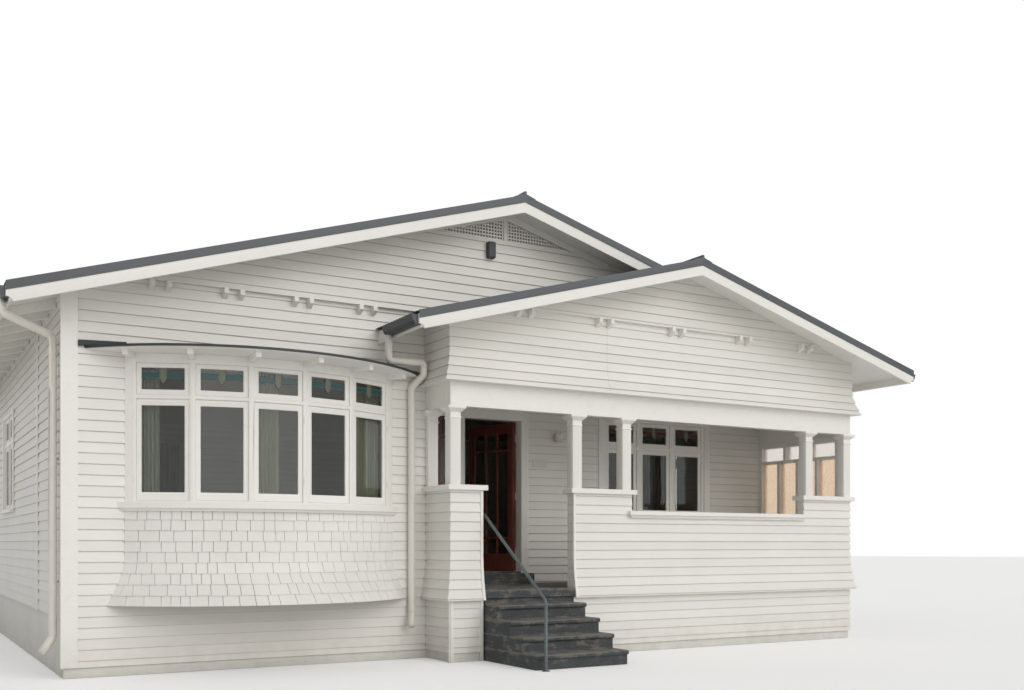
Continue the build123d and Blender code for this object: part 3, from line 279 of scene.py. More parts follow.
white = (1, 1, 1)
no_grain = (1, 1, 1)
splash_height = 0.5
splash_colour = (0.42, 0.38, 0.31)


def painted(
    name, colour, grain=no_grain, mottle=0.035, roughness=0.5, depth=0.0004, step=None
):
    """House paint: slight unevenness, grain, and splash near the ground. With
    a step, each board of that height differs a little, and the top of each board is darkened as
    painted shadow under the butt of the board above."""
    paint = Finish(name, roughness)
    uneven = [(0.3, shade(colour, 1 - mottle)), (0.7, shade(colour, 1 + mottle / 2))]
    tone = paint.ramp(paint.noise(1.3, 4.0), uneven)
    if step:
        rise = paint.math("DIVIDE", paint.math("SUBTRACT", paint.axis("Z"), board_line), step)
        speckle = paint.node("ShaderNodeTexWhiteNoise", noise_dimensions="1D")
        paint.link(paint.math("FLOOR", rise), speckle.inputs["W"])
        each = paint.ramp(speckle.outputs["Value"], [(0, (0.95, 0.95, 0.95)), (1, white)])
        tone = paint.mix(1.0, tone, each, "MULTIPLY")
        # Painted shadow: the top of each course is darkened where the butt of the board above
        # would shade it
        shaded = [(0.925, white), (0.965, (0.74, 0.71, 0.66))]
        joint = paint.ramp(paint.math("FRACT", rise), shaded)
        tone = paint.mix(1.0, tone, joint, "MULTIPLY")
    streaks = paint.noise(9.0, 5.0, grain, 0.6)
    soot = paint.ramp(streaks, [(0.55, white), (0.85, (0.93, 0.92, 0.9))])
    tone = paint.mix(1.0, tone, soot, "MULTIPLY")
    height = paint.math("DIVIDE", paint.axis("Z"), splash_height)
    low = paint.math("SUBTRACT", 1.0, height, clamp=True)
    splash = paint.math("MULTIPLY", low, paint.noise(7.0, 4.0), clamp=True)
    paint.colour(paint.mix(paint.math("MULTIPLY", splash, 0.55), tone, splash_colour))
    paint.rough(streaks, roughness - 0.08, roughness + 0.1)
    paint.relief(paint.noise(14.0, 5.0, grain, 0.65), depth)
    return paint.material


def glazing(name, colour, roughness, ripple, scale, clear=1.0):
    """Glass with waves as deep as the ripple, and as clear as asked."""
    glass = Finish(name, roughness, Transmission_Weight=clear, IOR=1.46)
    veil = glass.noise(2.2, 2.0)
    glass.colour(glass.ramp(veil, [(0.3, shade(colour, 0.94)), (0.7, colour)]))
    glass.relief(glass.noise(scale, 2.0), ripple)
    return glass.material


def screen_glazing():
    """Plain upper lights over peach panes rolled with a small raised pattern."""
    glass = Finish("peach_glass", 0.3, Transmission_Weight=1.0, IOR=1.46)
    cells = glass.node("ShaderNodeTexVoronoi", feature="F1")
    cells.inputs["Scale"].default_value = 28.0
    glass.link(glass.where, cells.inputs["Vector"])
    rolled = [(0.15, (0.93, 0.75, 0.57)), (0.6, (0.80, 0.60, 0.43))]
    spots = glass.ramp(cells.outputs["Distance"], rolled)
    upper = glass.math("GREATER_THAN", glass.axis("Z"), screen_transom)
    glass.colour(glass.mix(upper, spots, (0.86, 0.80, 0.75)))
    glass.relief(cells.outputs["Distance"], 0.004)
    return glass.material


board_white = (0.85, 0.832, 0.785)
trim_white = (0.87, 0.852, 0.805)
boards = painted("painted_boards", board_white, (0.5, 0.5, 9), step=board_pitch)
trim = painted("painted_trim", trim_white, (1.2, 1.2, 1.2), 0.02, 0.42, 0.0002)
shingle_paint = painted("painted_shingles", (0.83, 0.82, 0.78), (9, 9, 0.8), 0.05, 0.55, 0.0009)
# Dark paint for the core behind the apron shingles: a painted shadow in the gaps between them
gap_shadow_paint = painted("painted_gap_shadow", (0.30, 0.28, 0.25), no_grain, 0.03, 0.8, 0.0003)
lining = painted("painted_lining", shade(trim_white, 0.97), (6, 0.5, 1), 0.02, 0.5, 0.0003)
pipe_paint = painted("cream_pipe_paint", (0.80, 0.77, 0.70), no_grain, 0.03, 0.35, 0.0002)
render = painted("rendered_foundation", (0.78, 0.77, 0.73), no_grain, 0.06, 0.8, 0.002)
plaster = painted("plaster", (0.86, 0.85, 0.82), no_grain, 0.01, 0.8, 0.0003)


def roofing():
    steel = Finish("painted_roofing", 0.42)
    cloud = steel.noise(0.9, 5.0)
    tone = steel.ramp(cloud, [(0.3, (0.050, 0.059, 0.066)), (0.75, (0.078, 0.089, 0.097))])
    blown = steel.noise(3.0, 6.0, (0.25, 3, 1))
    dust = steel.ramp(blown, [(0.5, white), (0.9, (1.0, 0.96, 0.88))])
    steel.colour(steel.mix(1.0, tone, dust, "MULTIPLY"))
    steel.rough(cloud, 0.34, 0.52)
    steel.relief(steel.noise(60.0, 3.0), 0.0003)
    return steel.material


def worn_concrete(name, colour, bare):
    """Paint on concrete that has worn through in patches, and is lighter on faces that look up
    and along the top of each riser.
    """
    step = Finish(name, 0.75)
    patch = step.noise(5.0, 8.0, (1, 1, 2.5), 0.62)
    fine = step.noise(55.0, 6.0)
    wear = step.math("ADD", patch, step.math("MULTIPLY", fine, 0.22))
    facing_up = step.node("ShaderNodeSeparateXYZ")
    step.link(step.node("ShaderNodeNewGeometry").outputs["Normal"], facing_up.inputs["Vector"])
    tread = step.math("MULTIPLY", facing_up.outputs["Z"], 0.13, clamp=True)
    rise = step.math("FRACT", step.math("DIVIDE", step.axis("Z"), riser))
    nosing = step.math("MULTIPLY", step.math("SUBTRACT", rise, 0.8, clamp=True), 0.9)
    wear = step.math("ADD", step.math("ADD", wear, tread), nosing)
    tone = step.ramp(wear, [(0.5, colour), (0.66, shade(colour, 1.5)), (0.76, bare)])
    grit = step.ramp(fine, [(0.3, shade(colour, 0.6)), (0.7, shade(colour, 1.5))])
    step.colour(step.mix(0.35, tone, grit))
    step.rough(patch, 0.6, 0.9)
    step.relief(wear, 0.0035)
    return step.material


def timber(name, colour, roughness=0.4, grain=(7, 7, 0.6), gloss=0.0):
    wood = Finish(name, roughness, Coat_Weight=gloss, Coat_Roughness=0.2)
    streak = wood.noise(6.0, 6.0, grain, 0.6)
    wood.colour(wood.ramp(streak, [(0.35, shade(colour, 0.72)), (0.7, shade(colour, 1.18))]))
    wood.rough(streak, roughness - 0.07, roughness + 0.1)
    wood.relief(streak, 0.0004)
    return wood.material


def metal(name, colour, roughness, metallic=1.0, depth=0.0002):
    plain = Finish(name, roughness, metallic)
    cloud = plain.noise(18.0, 5.0)
    plain.colour(plain.ramp(cloud, [(0.35, shade(colour, 0.82)), (0.7, colour)]))
    plain.rough(cloud, roughness - 0.06, roughness + 0.12)
    plain.relief(plain.noise(120.0, 3.0), depth)
    return plain.material


roof_steel = roofing()
gutter_steel = metal("gutter_steel", (0.062, 0.072, 0.078), 0.4, 0.0)
hood_steel = metal("hood_steel", (0.030, 0.036, 0.040), 0.5, 0.0)
step_paint = worn_concrete("worn_step_paint", (0.043, 0.048, 0.050), (0.21, 0.19, 0.16))
red_joinery = timber("red_joinery", (0.185, 0.050, 0.036), 0.42, (7, 7, 0.6), 0.2)
floor_timber = timber("room_floor", (0.42, 0.30, 0.20), 0.4, (0.5, 8, 1), 0.2)
clear_glass = glazing("clear_glass", (0.70, 0.74, 0.71), 0.01, 0.0006, 3.0)
obscure_glass = glazing("obscure_glass", (0.80, 0.80, 0.74), 0.25, 0.002, 60.0)
peach_glass = screen_glazing()
lead_came = metal("lead_came", (0.13, 0.13, 0.12), 0.55, 0.2)
teal_glass = glazing("teal_glass", (0.02, 0.10, 0.105), 0.2, 0.001, 90.0, 0.25)
russet_glass = glazing("russet_glass", (0.10, 0.03, 0.02), 0.2, 0.001, 90.0, 0.25)
pale_glass = glazing("pale_glass", (0.27, 0.30, 0.22), 0.25, 0.001, 90.0, 0.5)
brass = metal("brass", (0.62, 0.48, 0.24), 0.28)
rail_paint = metal("rail_galvanised", (0.13, 0.15, 0.155), 0.5, 0.4)
lamp_glass = painted("lamp_opal", (0.80, 0.76, 0.66), no_grain, 0.02, 0.3, 0.0001)
light_metal = metal("light_metal", (0.62, 0.60, 0.55), 0.4, 0.4)
plate_paint = painted("plate_paint", (0.74, 0.72, 0.67), no_grain, 0.03, 0.45, 0.0002)
box_paint = metal("box_plastic", (0.05, 0.055, 0.06), 0.5, 0.0, 0.0004)


def sheer_cloth():
    """Fine curtain cloth with a plain weave."""
    cloth = Finish("sheer_curtain", 0.9, Sheen_Weight=0.3)
    thread = cloth.noise(900.0, 2.0, (1, 1, 0.25))
    cloth.colour(cloth.ramp(thread, [(0.3, (0.30, 0.30, 0.20)), (0.7, (0.44, 0.43, 0.31))]))
    cloth.relief(thread, 0.0003)
    return cloth.material


curtain_cloth = sheer_cloth()


# ---------------------------------------------------------------- pieces
def placed(name, data):
    """A new object in the scene, at the origin."""
    made = bpy.data.objects.new(name, data)
    bpy.context.scene.collection.objects.link(made)
    return made


def piece(name, bm, finish, slot, stands_for=(), body="house", smooth=None, outwards=True):
    """Turns a bmesh drawn from the corner of the house into a finished piece."""
    if outwards:
        bmesh.ops.recalc_face_normals(bm, faces=bm.faces)
    bmesh.ops.translate(bm, verts=bm.verts, vec=-house_corner)
    mesh = bpy.data.meshes.new(name)
    bm.to_mesh(mesh)
    bm.free()
    made = placed(name, mesh)
    mesh.materials.append(finish)
    if smooth:
        mesh.shade_smooth()
        mesh.set_sharp_from_angle(angle=radians(smooth))
    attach(made, body)
    if stands_for:
        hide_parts(*stands_for)
    return made


def thickened(made, name, thickness, offset):
    """Gives a sheet its thickness, to one side or to both."""
    thick = made.modifiers.new(name, "SOLIDIFY")
    thick.thickness = thickness
    thick.offset = offset


def drawn(node):
    """Copy of a CAD piece as a bmesh, merged and moved back to the drawing."""
    bm = bmesh.new()
    bm.from_mesh(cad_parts[node].data)
    bmesh.ops.remove_doubles(bm, verts=bm.verts, dist=0.00002)
    flat = radians(0.5)
    bmesh.ops.dissolve_limit(bm, angle_limit=flat, verts=bm.verts, edges=bm.edges)
    many_sided = [face for face in bm.faces if len(face.verts) > 4]
    bmesh.ops.triangulate(bm, faces=many_sided)
    bmesh.ops.translate(bm, verts=bm.verts, vec=house_corner)
    return bm


def dress(
    node, finish, slot, round_over=0.003, segments=2, smooth=40, body="house", shape=None
):
    """A CAD piece, or its adjusted shape, with arrises eased and its own finish."""
    shape = shape or drawn(node)
    made = piece(node + "_finished", shape, finish, slot, (node,), body, smooth, False)
    if round_over:
        ease = made.modifiers.new("eased_edges", "BEVEL")
        ease.width = round_over
        ease.segments = segments
        ease.limit_method = "ANGLE"
        ease.angle_limit = radians(35)
        ease.miter_outer = "MITER_ARC"


def slab(bm, corner_at):
    """Six-sided piece whose corners are placed one by one: right or left,
    back or front, and top or bottom."""
    made = bmesh.ops.create_cube(bm, size=1.0)["verts"]
    for vert in made:
        vert.co = corner_at(vert.co.x > 0, vert.co.y > 0, vert.co.z > 0)
    return made


def bar(bm, x, y, z):
    return slab(bm, lambda i, j, k: Vector((x[i], y[j], z[k])))


def centred(middle, size):
    return (middle - size / 2, middle + size / 2)


def trim_all(bm, planes):
    """Cuts off what lies beyond each plane and closes the cut."""
    for point, normal in planes:
        cut = bmesh.ops.bisect_plane(
            bm,
            geom=[*bm.verts, *bm.edges, *bm.faces],
            dist=0.00001,
            plane_co=point,
            plane_no=normal,
            clear_outer=True,
        )
        rims = [e for e in cut["geom_cut"] if isinstance(e, bmesh.types.BMEdge)]
        if rims:
            bmesh.ops.holes_fill(bm, edges=rims, sides=0)


def upright(z):
    return 0.0


def pier_lean(z):
    share = (z - flare_base) / (flare_top - flare_base)
    return flare_reach * (1 - share) ** flare_curve if 0 <= share < 1 else 0.0


def skirt_lean(z):
    share = (z - skirt_base) / (skirt_top - skirt_base)
    return skirt_reach * (1 - min(1.0, max(0.0, share))) ** flare_curve


def lay_boards(bm, wall, along, up, lean=upright, mitre=(0, 0)):
    """Weatherboards over one panel of a wall. The wall is a matrix that
    takes (along, out, up) to the drawing, lean is how far it swells, and
    mitre is the share of the swell that each end takes up."""
    course = floor((up[0] - board_line) / board_pitch)
    low = board_line + course * board_pitch
    while low < up[1] - close:
        ends = (max(low, up[0]), min(low + board_pitch, up[1]))
        if ends[1] - ends[0] > 2 * close:

            def corner_at(i, j, k):
                z = ends[k]
                rise = (z - low) / board_pitch
                hang = lean(min(z, ends[1] - inside)) if k else lean(z)
                out = hang + board_butt - (board_butt + board_tuck) * rise
                if not j:
                    out = hang - board_back
                x = along[0] - mitre[0] * out if not i else along[1] + mitre[1] * out
                return wall @ Vector((x, out, z))

            slab(bm, corner_at)
        low += board_pitch


def facing(start, along, out):
    """Matrix of a wall face from its start, its direction and its outside."""
    columns = (Vector(along), Vector(out), Vector((0, 0, 1)), Vector(start))
    return Matrix([[*(c[row] for c in columns)] for row in range(3)] + [[0, 0, 0, 1]])


def facing_front(y):
    return facing((0, y, 0), (1, 0, 0), (0, -1, 0))


def facing_left(x):
    return facing((x, 0, 0), (0, 1, 0), (-1, 0, 0))


def facing_right(x):
    return facing((x, 0, 0), (0, 1, 0), (1, 0, 0))


front = facing_front(0)
left_side = facing_left(0)
right_side = facing_right(house_width)
back = facing((0, house_depth, 0), (1, 0, 0), (0, 1, 0))


def moved(wall, out):
    return wall @ Matrix.Translation((0, out, 0))


def around(wall, bm, along, up, holes):
    """Boards over a wall, stopped at each side of its openings."""
    edge = along[0]
    for left, right, low, high in sorted(holes):
        lay_boards(bm, wall, (edge, left), up)
        lay_boards(bm, wall, (left, right), (up[0], low))
        lay_boards(bm, wall, (left, right), (high, up[1]))
        edge = right
    lay_boards(bm, wall, (edge, along[1]), up)


def window_gaps(places):
    """Openings in the boards for the windows with these middles."""
    return [(at - window_half, at + window_half, window_low, window_high) for at in places]


def under(slope, x):
    """Plane that stops boards at the lining under a roof slope."""
    rise = slope(x + 1) - slope(x)
    return ((x, 0, slope(x) - roof_depth), (-rise, 0, 1))


main_planes = [under(left_slope, ridge_x), under(right_slope, ridge_x)]
porch_planes = [under(porch_slope, porch_ridge_x), under(right_slope, porch_ridge_x)]


def joined(target, source):
    """Adds one bmesh to another."""
    passing = bpy.data.meshes.new("passing")
    source.to_mesh(passing)
    source.free()
    target.from_mesh(passing)
    bpy.data.meshes.remove(passing)


def clad(node, boarding, skins=(), solid=None):
    """A wall: its solid set back behind the boards that cover it. A skin is
    given by its axis, its place along it and the way it faces."""
    bmesh.ops.recalc_face_normals(boarding, faces=boarding.faces)
    wall = solid or drawn(node)
    for axis, place, side in skins:
        for vert in wall.verts:
            if abs(vert.co[axis] - place) < close / 2:
                vert.co[axis] -= side * wall_setback
    joined(wall, boarding)
    piece(node + "_boarded", wall, boards, "white_boards", (node,), outwards=False)


# Front wall round the bow window
front_end, over_porch_roof = 5.4, 3.9
cover = bmesh.new()
for along, up in (
    ((corner_board, bow_gap[0]), (plinth, wall_top)),
    (bow_gap, (plinth, under_bow)),
    (bow_gap, (over_bow, wall_top)),
    ((bow_gap[1], porch_left), (plinth, wall_top)),
    ((porch_left, front_end), (over_porch_roof, wall_top)),
):
    lay_boards(cover, front, along, up)
trim_all(cover, main_planes)
clad("front_wall", cover, [(1, 0, -1)])


# Gable faces, with a triangle left open for the vent
def gable_boards(wall, reach):
    beside = 0.4
    cover = bmesh.new()
    lay_boards(cover, wall, reach, (gable_panel_base, vent_base))
    trim_all(cover, main_planes)
    for ends, foot, fall in (
        ((vent_left - beside, ridge_x), vent_left, vent_fall_left),
        ((ridge_x, vent_right + beside), vent_right, -vent_fall_right),
    ):
        upper = bmesh.new()
        lay_boards(upper, wall, ends, (vent_base, gable_top))
        trim_all(upper, main_planes)
        trim_all(upper, [((foot, 0, vent_base), (fall, 0, -1))])
        joined(cover, upper)
    return cover


past_corner = 0.1
cover = gable_boards(moved(front, gable_panel_proud), (-past_corner, porch_ridge_x))
trim_all(cover, [((porch_ridge_x, 0, porch_ridge_height), (right_pitch, 0, -1))])
clad("front_gable_panel", cover, [(1, -gable_panel_proud, -1)])

# Left, right and back walls
for node, wall, start, eave, windows, side in (
    ("left_wall", left_side, corner_cover, left_slope(0), left_windows, -1),
    ("right_wall", right_side, porch_recess, right_slope(house_width), right_windows, 1),
):
    cover = bmesh.new()
    span = (start, house_depth - corner_board)
    around(wall, cover, span, (foundation, eave - roof_depth), window_gaps(windows))
    clad(node, cover, [(0, wall.translation.x, side)])
cover = bmesh.new()
back_span = (corner_board, house_width - corner_board)
around(back, cover, back_span, (foundation, wall_top), window_gaps(back_windows))
trim_all(cover, main_planes)
back_panel = moved(back, gable_panel_proud)
joined(cover, gable_boards(back_panel, (-past_corner, house_width + past_corner)))
clad("back_wall", cover, [(1, house_depth, 1), (1, house_depth + gable_panel_proud, 1)])

# Walls inside the porch
porch_back = facing_front(porch_recess)
porch_up = (porch_floor, porch_ceiling)
cover = bmesh.new()
lay_boards(cover, porch_back, (porch_inner, sidelight_left), porch_up)
lay_boards(cover, porch_back, (sidelight_left, door_case[0]), (porch_floor, sidelight_base))
clad("porch_wall_left", cover, [(1, porch_recess, -1)])
cover = bmesh.new()
porch_window_gap = (*porch_window, porch_window_base, porch_ceiling)
around(porch_back, cover, (door_case[1], porch_wall_end), porch_up, [porch_window_gap])
clad("porch_wall_right", cover, [(1, porch_recess, -1)])
cover = bmesh.new()
lay_boards(cover, facing_right(porch_inner), (0, porch_recess), porch_up)
clad("room_return_wall", cover, [(0, porch_inner, 1)])

# Porch gable with its flared skirt and proud upper face
porch_gable = facing_front(gable_face)
gable_west = facing_left(gable_left)
gable_east = facing_right(gable_right)
gable_up = (skirt_base, porch_panel_base + 0.01)
butt_left, butt_right = centred(gable_butt, butt_gap)
cover = bmesh.new()
lay_boards(cover, porch_gable, (gable_left, butt_left), gable_up, skirt_lean, (1, 0))
lay_boards(cover, porch_gable, (butt_right, gable_right), gable_up, skirt_lean, (0, 1))
lay_boards(cover, gable_west, (gable_face, 0), gable_up, skirt_lean, (1, 0))
lay_boards(cover, gable_east, (gable_face, porch_recess), gable_up, skirt_lean, (1, 0))
proud = moved(porch_gable, porch_panel_proud)
over_porch_ridge = 5.1
lay_boards(cover, proud, (gable_left, gable_right), (porch_panel_base, over_porch_ridge))
trim_all(cover, porch_planes)
bmesh.ops.recalc_face_normals(cover, faces=cover.faces)
wall = drawn("porch_gable_wall")
panel_face = gable_face - porch_panel_proud
for vert in wall.verts:
    x, y, z = vert.co
    if abs(y - panel_face) < close / 2:
        vert.co.y += wall_setback
    elif y < gable_face + close and z > skirt_base - close:
        vert.co.y += wall_setback
    if x < gable_left + close:
        vert.co.x += wall_setback
    elif x > gable_right - close:
        vert.co.x -= wall_setback
joined(wall, cover)
piece("porch_gable_boarded", wall, boards, "white_boards", ("porch_gable_wall",), outwards=False)


# Balustrades: each face boarded, with mitred corners where it flares
def balustrade(node, runs):
    cover = bmesh.new()
    for wall, along, up, mitre in runs:
        if up[0] < flare_base:
            lay_boards(cover, wall, along, (up[0], flare_base), upright, mitre)
        lay_boards(cover, wall, along, (max(up[0], flare_base), up[1]), pier_lean, mitre)
    solid = drawn(node)
    for vert in solid.verts:
        x, y, z = vert.co
        if y < porch_front + close:
            vert.co.y += wall_setback
        if node == "balustrade_left" and x < porch_left + close:
            vert.co.x += wall_setback
        if node == "balustrade_right" and x > house_width - close:
            vert.co.x -= wall_setback
    clad(node, cover, solid=solid)


porch_face = facing_front(porch_front)
porch_west = facing_left(porch_left)
pier_up = (plinth, pier_top)
low_up = (plinth, low_top)
side_pier_end = -0.54
side_pier_up = (low_top, pier_top)
balustrade(
    "balustrade_left",
    [
        (porch_face, (porch_left, entry[0] - board_stop), pier_up, (1, 0)),
        (porch_west, (porch_front, 0), pier_up, (1, 0)),
    ],
)
balustrade(
    "balustrade_middle",
    [
        (porch_face, (entry[1] + board_stop, low_wall[0]), pier_up, (0, 0)),
        (porch_face, low_wall, low_up, (0, 0)),
    ],
)
balustrade(
    "balustrade_right",
    [
        (porch_face, (low_wall[1], house_width), pier_up, (0, 1)),
        (right_side, (porch_front, porch_recess), low_up, (1, 0)),
        (right_side, (porch_front, side_pier_end), side_pier_up, (1, 0)),
    ],
)


# Corrugated roofing in place of the plain sheets
def corrugated(name, node, slope, areas):
    bm = bmesh.new()
    for x, y in areas:
        rows = round((y[1] - y[0]) / wave_pitch * wave_parts)
        sheet = bmesh.ops.create_grid(bm, x_segments=1, y_segments=rows, size=0.5)["verts"]
        for vert in sheet:
            vx = x[0] if vert.co.x < 0 else x[1]
            vy = y[0] + (vert.co.y + 0.5) * (y[1] - y[0])
            wave = wave_depth / 2 * (cos(2 * pi * vy / wave_pitch) - 1)
            vert.co = Vector((vx, vy, slope(vx) + wave))
    for face in bm.faces:
        if face.normal.z < 0:
            face.normal_flip()
    made = piece(name, bm, roof_steel, "roof_steel", (node,), outwards=False, smooth=60)
    thickened(made, "sheet_thickness", 0.0015, -1)


main_y = (-gable_overhang, house_depth + gable_overhang)
left_area = ((left_eave, ridge_x), main_y)
upper_right_area = ((ridge_x, porch_ridge_x), main_y)
lower_right_area = ((porch_ridge_x, right_eave), (porch_barge, main_y[1]))
porch_area = ((porch_eave, porch_ridge_x), (porch_barge, 0))
corrugated("roofing_left", "roof_left", left_slope, [left_area])
corrugated("roofing_right", "roof_right", right_slope, [upper_right_area, lower_right_area])
corrugated("roofing_porch", "roof_porch", porch_slope, [porch_area])


# Shingled apron under the bow window
def apron_arc(z):
    """Half angle, radius and centre line of the apron at a height."""
    drop = max(0.0, apron_straight - z) / (apron_straight - apron_base)
    swell = min(1.0, drop) ** apron_curve
    half = bow_half + apron_side_flare * swell
    reach = bow_depth + apron_flare * swell
    radius = (half**2 + reach**2) / (2 * reach)
    return asin(half / radius), radius, radius - reach


def on_apron(share, z, out):
    """Point on the apron; share runs from -1 at the left to 1."""
    half, radius, centre = apron_arc(z)
    turn = half * share
    return Vector((bow_x + (radius + out) * sin(turn), centre - (radius + out) * cos(turn), z))


def plumb(share, base, z):
    """Share at another height of a joint. It stands nearly plumb, fans out
    a little in the middle and follows the flare at both ends."""
    fan, end_zone = 0.5, 0.2
    half, radius, centre = apron_arc(base)
    x = radius * sin(half * share)
    half, radius, centre = apron_arc(z)
    upright_share = asin(max(-1.0, min(1.0, x / radius))) / half
    lean = max(fan * (1 - share**2), (abs(share) - (1 - end_zone)) / end_zone)
    return upright_share * (1 - lean) + share * lean


shingle_foot = apron_base - 0.004
lowest_butt = apron_base - 0.003
shingle_head, shingle_butt, shingle_back, shingle_lap = 0.0015, 0.013, -0.006, 0.001
bases = [first_course]
while bases[-1] > apron_base:
    bases.append(max(bases[-1] - shingle_pitch, shingle_foot))
chance = random.Random(7)
cover = bmesh.new()
top = apron_top
for base in bases:
    half, radius, centre = apron_arc(base)
    run = 2 * half * radius
    edge = 0.0
    while edge < run - close:
        width = chance.choice(shingle_widths)
        if run - edge - width < narrowest_shingle:
            width = run - edge
        sides = (edge + shingle_joint / 2, edge + width - shingle_joint / 2)
        shares = tuple(side / run * 2 - 1 for side in sides)
        butt = shingle_butt + chance.uniform(-0.001, 0.002)
        sag = chance.uniform(-0.003, 0.002)

        def corner_at(i, j, k):
            z = min(top, apron_top) if k else max(base + sag, lowest_butt)
            out = (shingle_head if k else butt) if j else shingle_back
            return on_apron(plumb(shares[i], base, z), z, out)

        slab(cover, corner_at)
        edge += width
    top = base + shingle_lap
# The core behind the shingles is set back and painted dark, a painted shadow that shows through
# the gaps between shingles
core = drawn("bow_apron")
core_inset = 0.012
for vert in core.verts:
    if vert.co.y < -close:
        outwards = Vector((vert.co.x - bow_x, vert.co.y - bow_centre)).normalized()
        vert.co -= core_inset * outwards.to_3d()
piece("bow_apron_core", core, gap_shadow_paint, "white_shingles", ("bow_apron",), outwards=False)
piece("bow_apron_shingles", cover, shingle_paint, "white_shingles")


# Square lattice of each gable vent, with a mullion and a raking trim above it
def lattice():
    pitch, width, mullion, woven = 0.042, 0.016, 0.05, 0.004
    face = -gable_panel_proud
    depth = (face + 0.008, face + 0.03)
    inner = (depth[0] + woven, depth[1] - woven)
    up = (vent_base, vent_peak)
    net = bmesh.new()
    for n in range(1, int((vent_right - vent_left) / pitch)):
        bar(net, centred(vent_left + n * pitch, width), depth, up)
    for n in range(int((vent_peak - vent_base) / pitch) + 1):
        middle = vent_base + n * pitch + width / 2
        bar(net, (vent_left, vent_right), inner, centred(middle, width))
    bar(net, centred(ridge_x, mullion), (face - woven, depth[1]), up)
    left_cut = ((vent_left, 0, vent_base), (-vent_fall_left, 0, 1))
    right_cut = ((vent_right, 0, vent_base), (vent_fall_right, 0, 1))
    trim_all(net, [left_cut, right_cut])
    trim_proud, least_trim, trim_ends = 0.016, 0.05, (vent_left - 0.5, vent_right + 0.62)
    for slope, fall, foot, ends in (
        (left_slope, vent_fall_left, vent_left, (trim_ends[0], ridge_x)),
        (right_slope, -vent_fall_right, vent_right, (ridge_x, trim_ends[1])),
    ):

        def corner_at(i, j, k):
            x = ends[i]
            top = slope(x) - roof_depth
            z = top if k else min(vent_base + (x - foot) * fall, top - least_trim)
            return Vector((x, (face - trim_proud, depth[1])[j], z))

        slab(net, corner_at)
    return net


cover, rear = lattice(), lattice()
for vert in rear.verts:
    vert.co.y = house_depth - vert.co.y
joined(cover, rear)
piece("gable_lattice", cover, trim, "white_trim", ("gable_vents",))

# Trim, joinery and fittings that keep their CAD shapes
for node, edge in (
    ("balustrade_caps", 0.006),
    ("barge_boards", 0.003),
    ("bow_hood_soffit", 0.003),
    ("bow_sill", 0.006),
    ("bow_window_frame", 0.004),
    ("bow_window_sashes", 0.006),
    ("eave_rafters", 0.003),
    ("door_frame", 0.003),
    ("porch_beam", 0.004),
    ("porch_posts", 0.004),
    ("porch_window_frame", 0.003),
    ("porch_window_sashes", 0.005),
    ("side_screen_frame", 0.003),
    ("side_window_frames", 0.003),
):
    dress(node, trim, "white_trim", edge)
for node in ("soffit_left", "soffit_porch", "soffit_right", "porch_ceiling"):
    dress(node, lining, "white_trim", 0.0, smooth=None)
dress("roof_cappings", roof_steel, "roof_steel", 0.003)
dress("bow_hood", hood_steel, "roof_steel", 0.003)
dress("gutters", gutter_steel, "gutter_steel", 0.0015)

# The front left corner board shows no side, and the cover strip beside it is broad
corners = drawn("corner_boards")
side_leg, side_edge = 0.14, 0.018
strip, strip_middle, broader = (1.9, 2.0), 1.95, 1.8
for vert in corners.verts:
    if vert.co.x < close and abs(vert.co.y - side_leg) < 2 * close:
        vert.co.y = side_edge
    elif vert.co.x < close and strip[0] < vert.co.y < strip[1]:
        vert.co.y = strip_middle + broader * (vert.co.y - strip_middle)
dress("corner_boards", trim, "white_trim", shape=corners)

# Brackets with shorter heels
heels = drawn("gable_brackets")
heel_share, before_main_gable = 0.74, -0.5
for vert in heels.verts:
    head = porch_panel_base if vert.co.y < before_main_gable else gable_panel_base
    vert.co.z = head - heel_share * (head - vert.co.z)
dress("gable_brackets", trim, "white_trim", 0.004, shape=heels)

# The left pipe's upper run comes forward, so that it leaves the gutter behind the
# barge end, and the porch pipe's upper elbow sits lower
pipes = drawn("downpipes")
left_outlet_x, left_forward, left_lift = -0.61, 0.59, 0.12
elbow_x, elbow_z, elbow_drop, elbow_run = 4.03, (3.585, 3.69), 0.07, 0.5
for vert in pipes.verts:
    if vert.co.x < 0 and vert.co.z > 3.0:
        share = min(1.0, max(0.0, (vert.co.x + pipe_off) / (left_outlet_x + pipe_off)))
        vert.co.y -= left_forward * share
        vert.co.z += left_lift * (1 - share)
    elif vert.co.x < elbow_x and elbow_z[0] < vert.co.z < elbow_z[1]:
        vert.co.z -= elbow_drop * min(1.0, (elbow_x - vert.co.x) / elbow_run)
dress("downpipes", pipe_paint, "cream_pipe", 0.0, smooth=50, shape=pipes)
dress("foundation", render, "render", 0.006)
dress("entry_steps", step_paint, "grey_concrete", 0.012, 3)
dress("porch_floor", step_paint, "grey_concrete", 0.008, 3)

# Dark paint over the top and the front of the door sill
sill_cover = bmesh.new()
sill_front, sill_back, sill_base, sill_top = 1.1365, 1.2, 1.0, 1.0215
bar(sill_cover, door_opening, (sill_front + 0.0005, sill_back), (sill_top - 0.002, sill_top))
bar(sill_cover, door_opening, (sill_front, sill_front + 0.003), (sill_base, sill_top))
piece("door_threshold", sill_cover, step_paint, "white_trim", outwards=False)

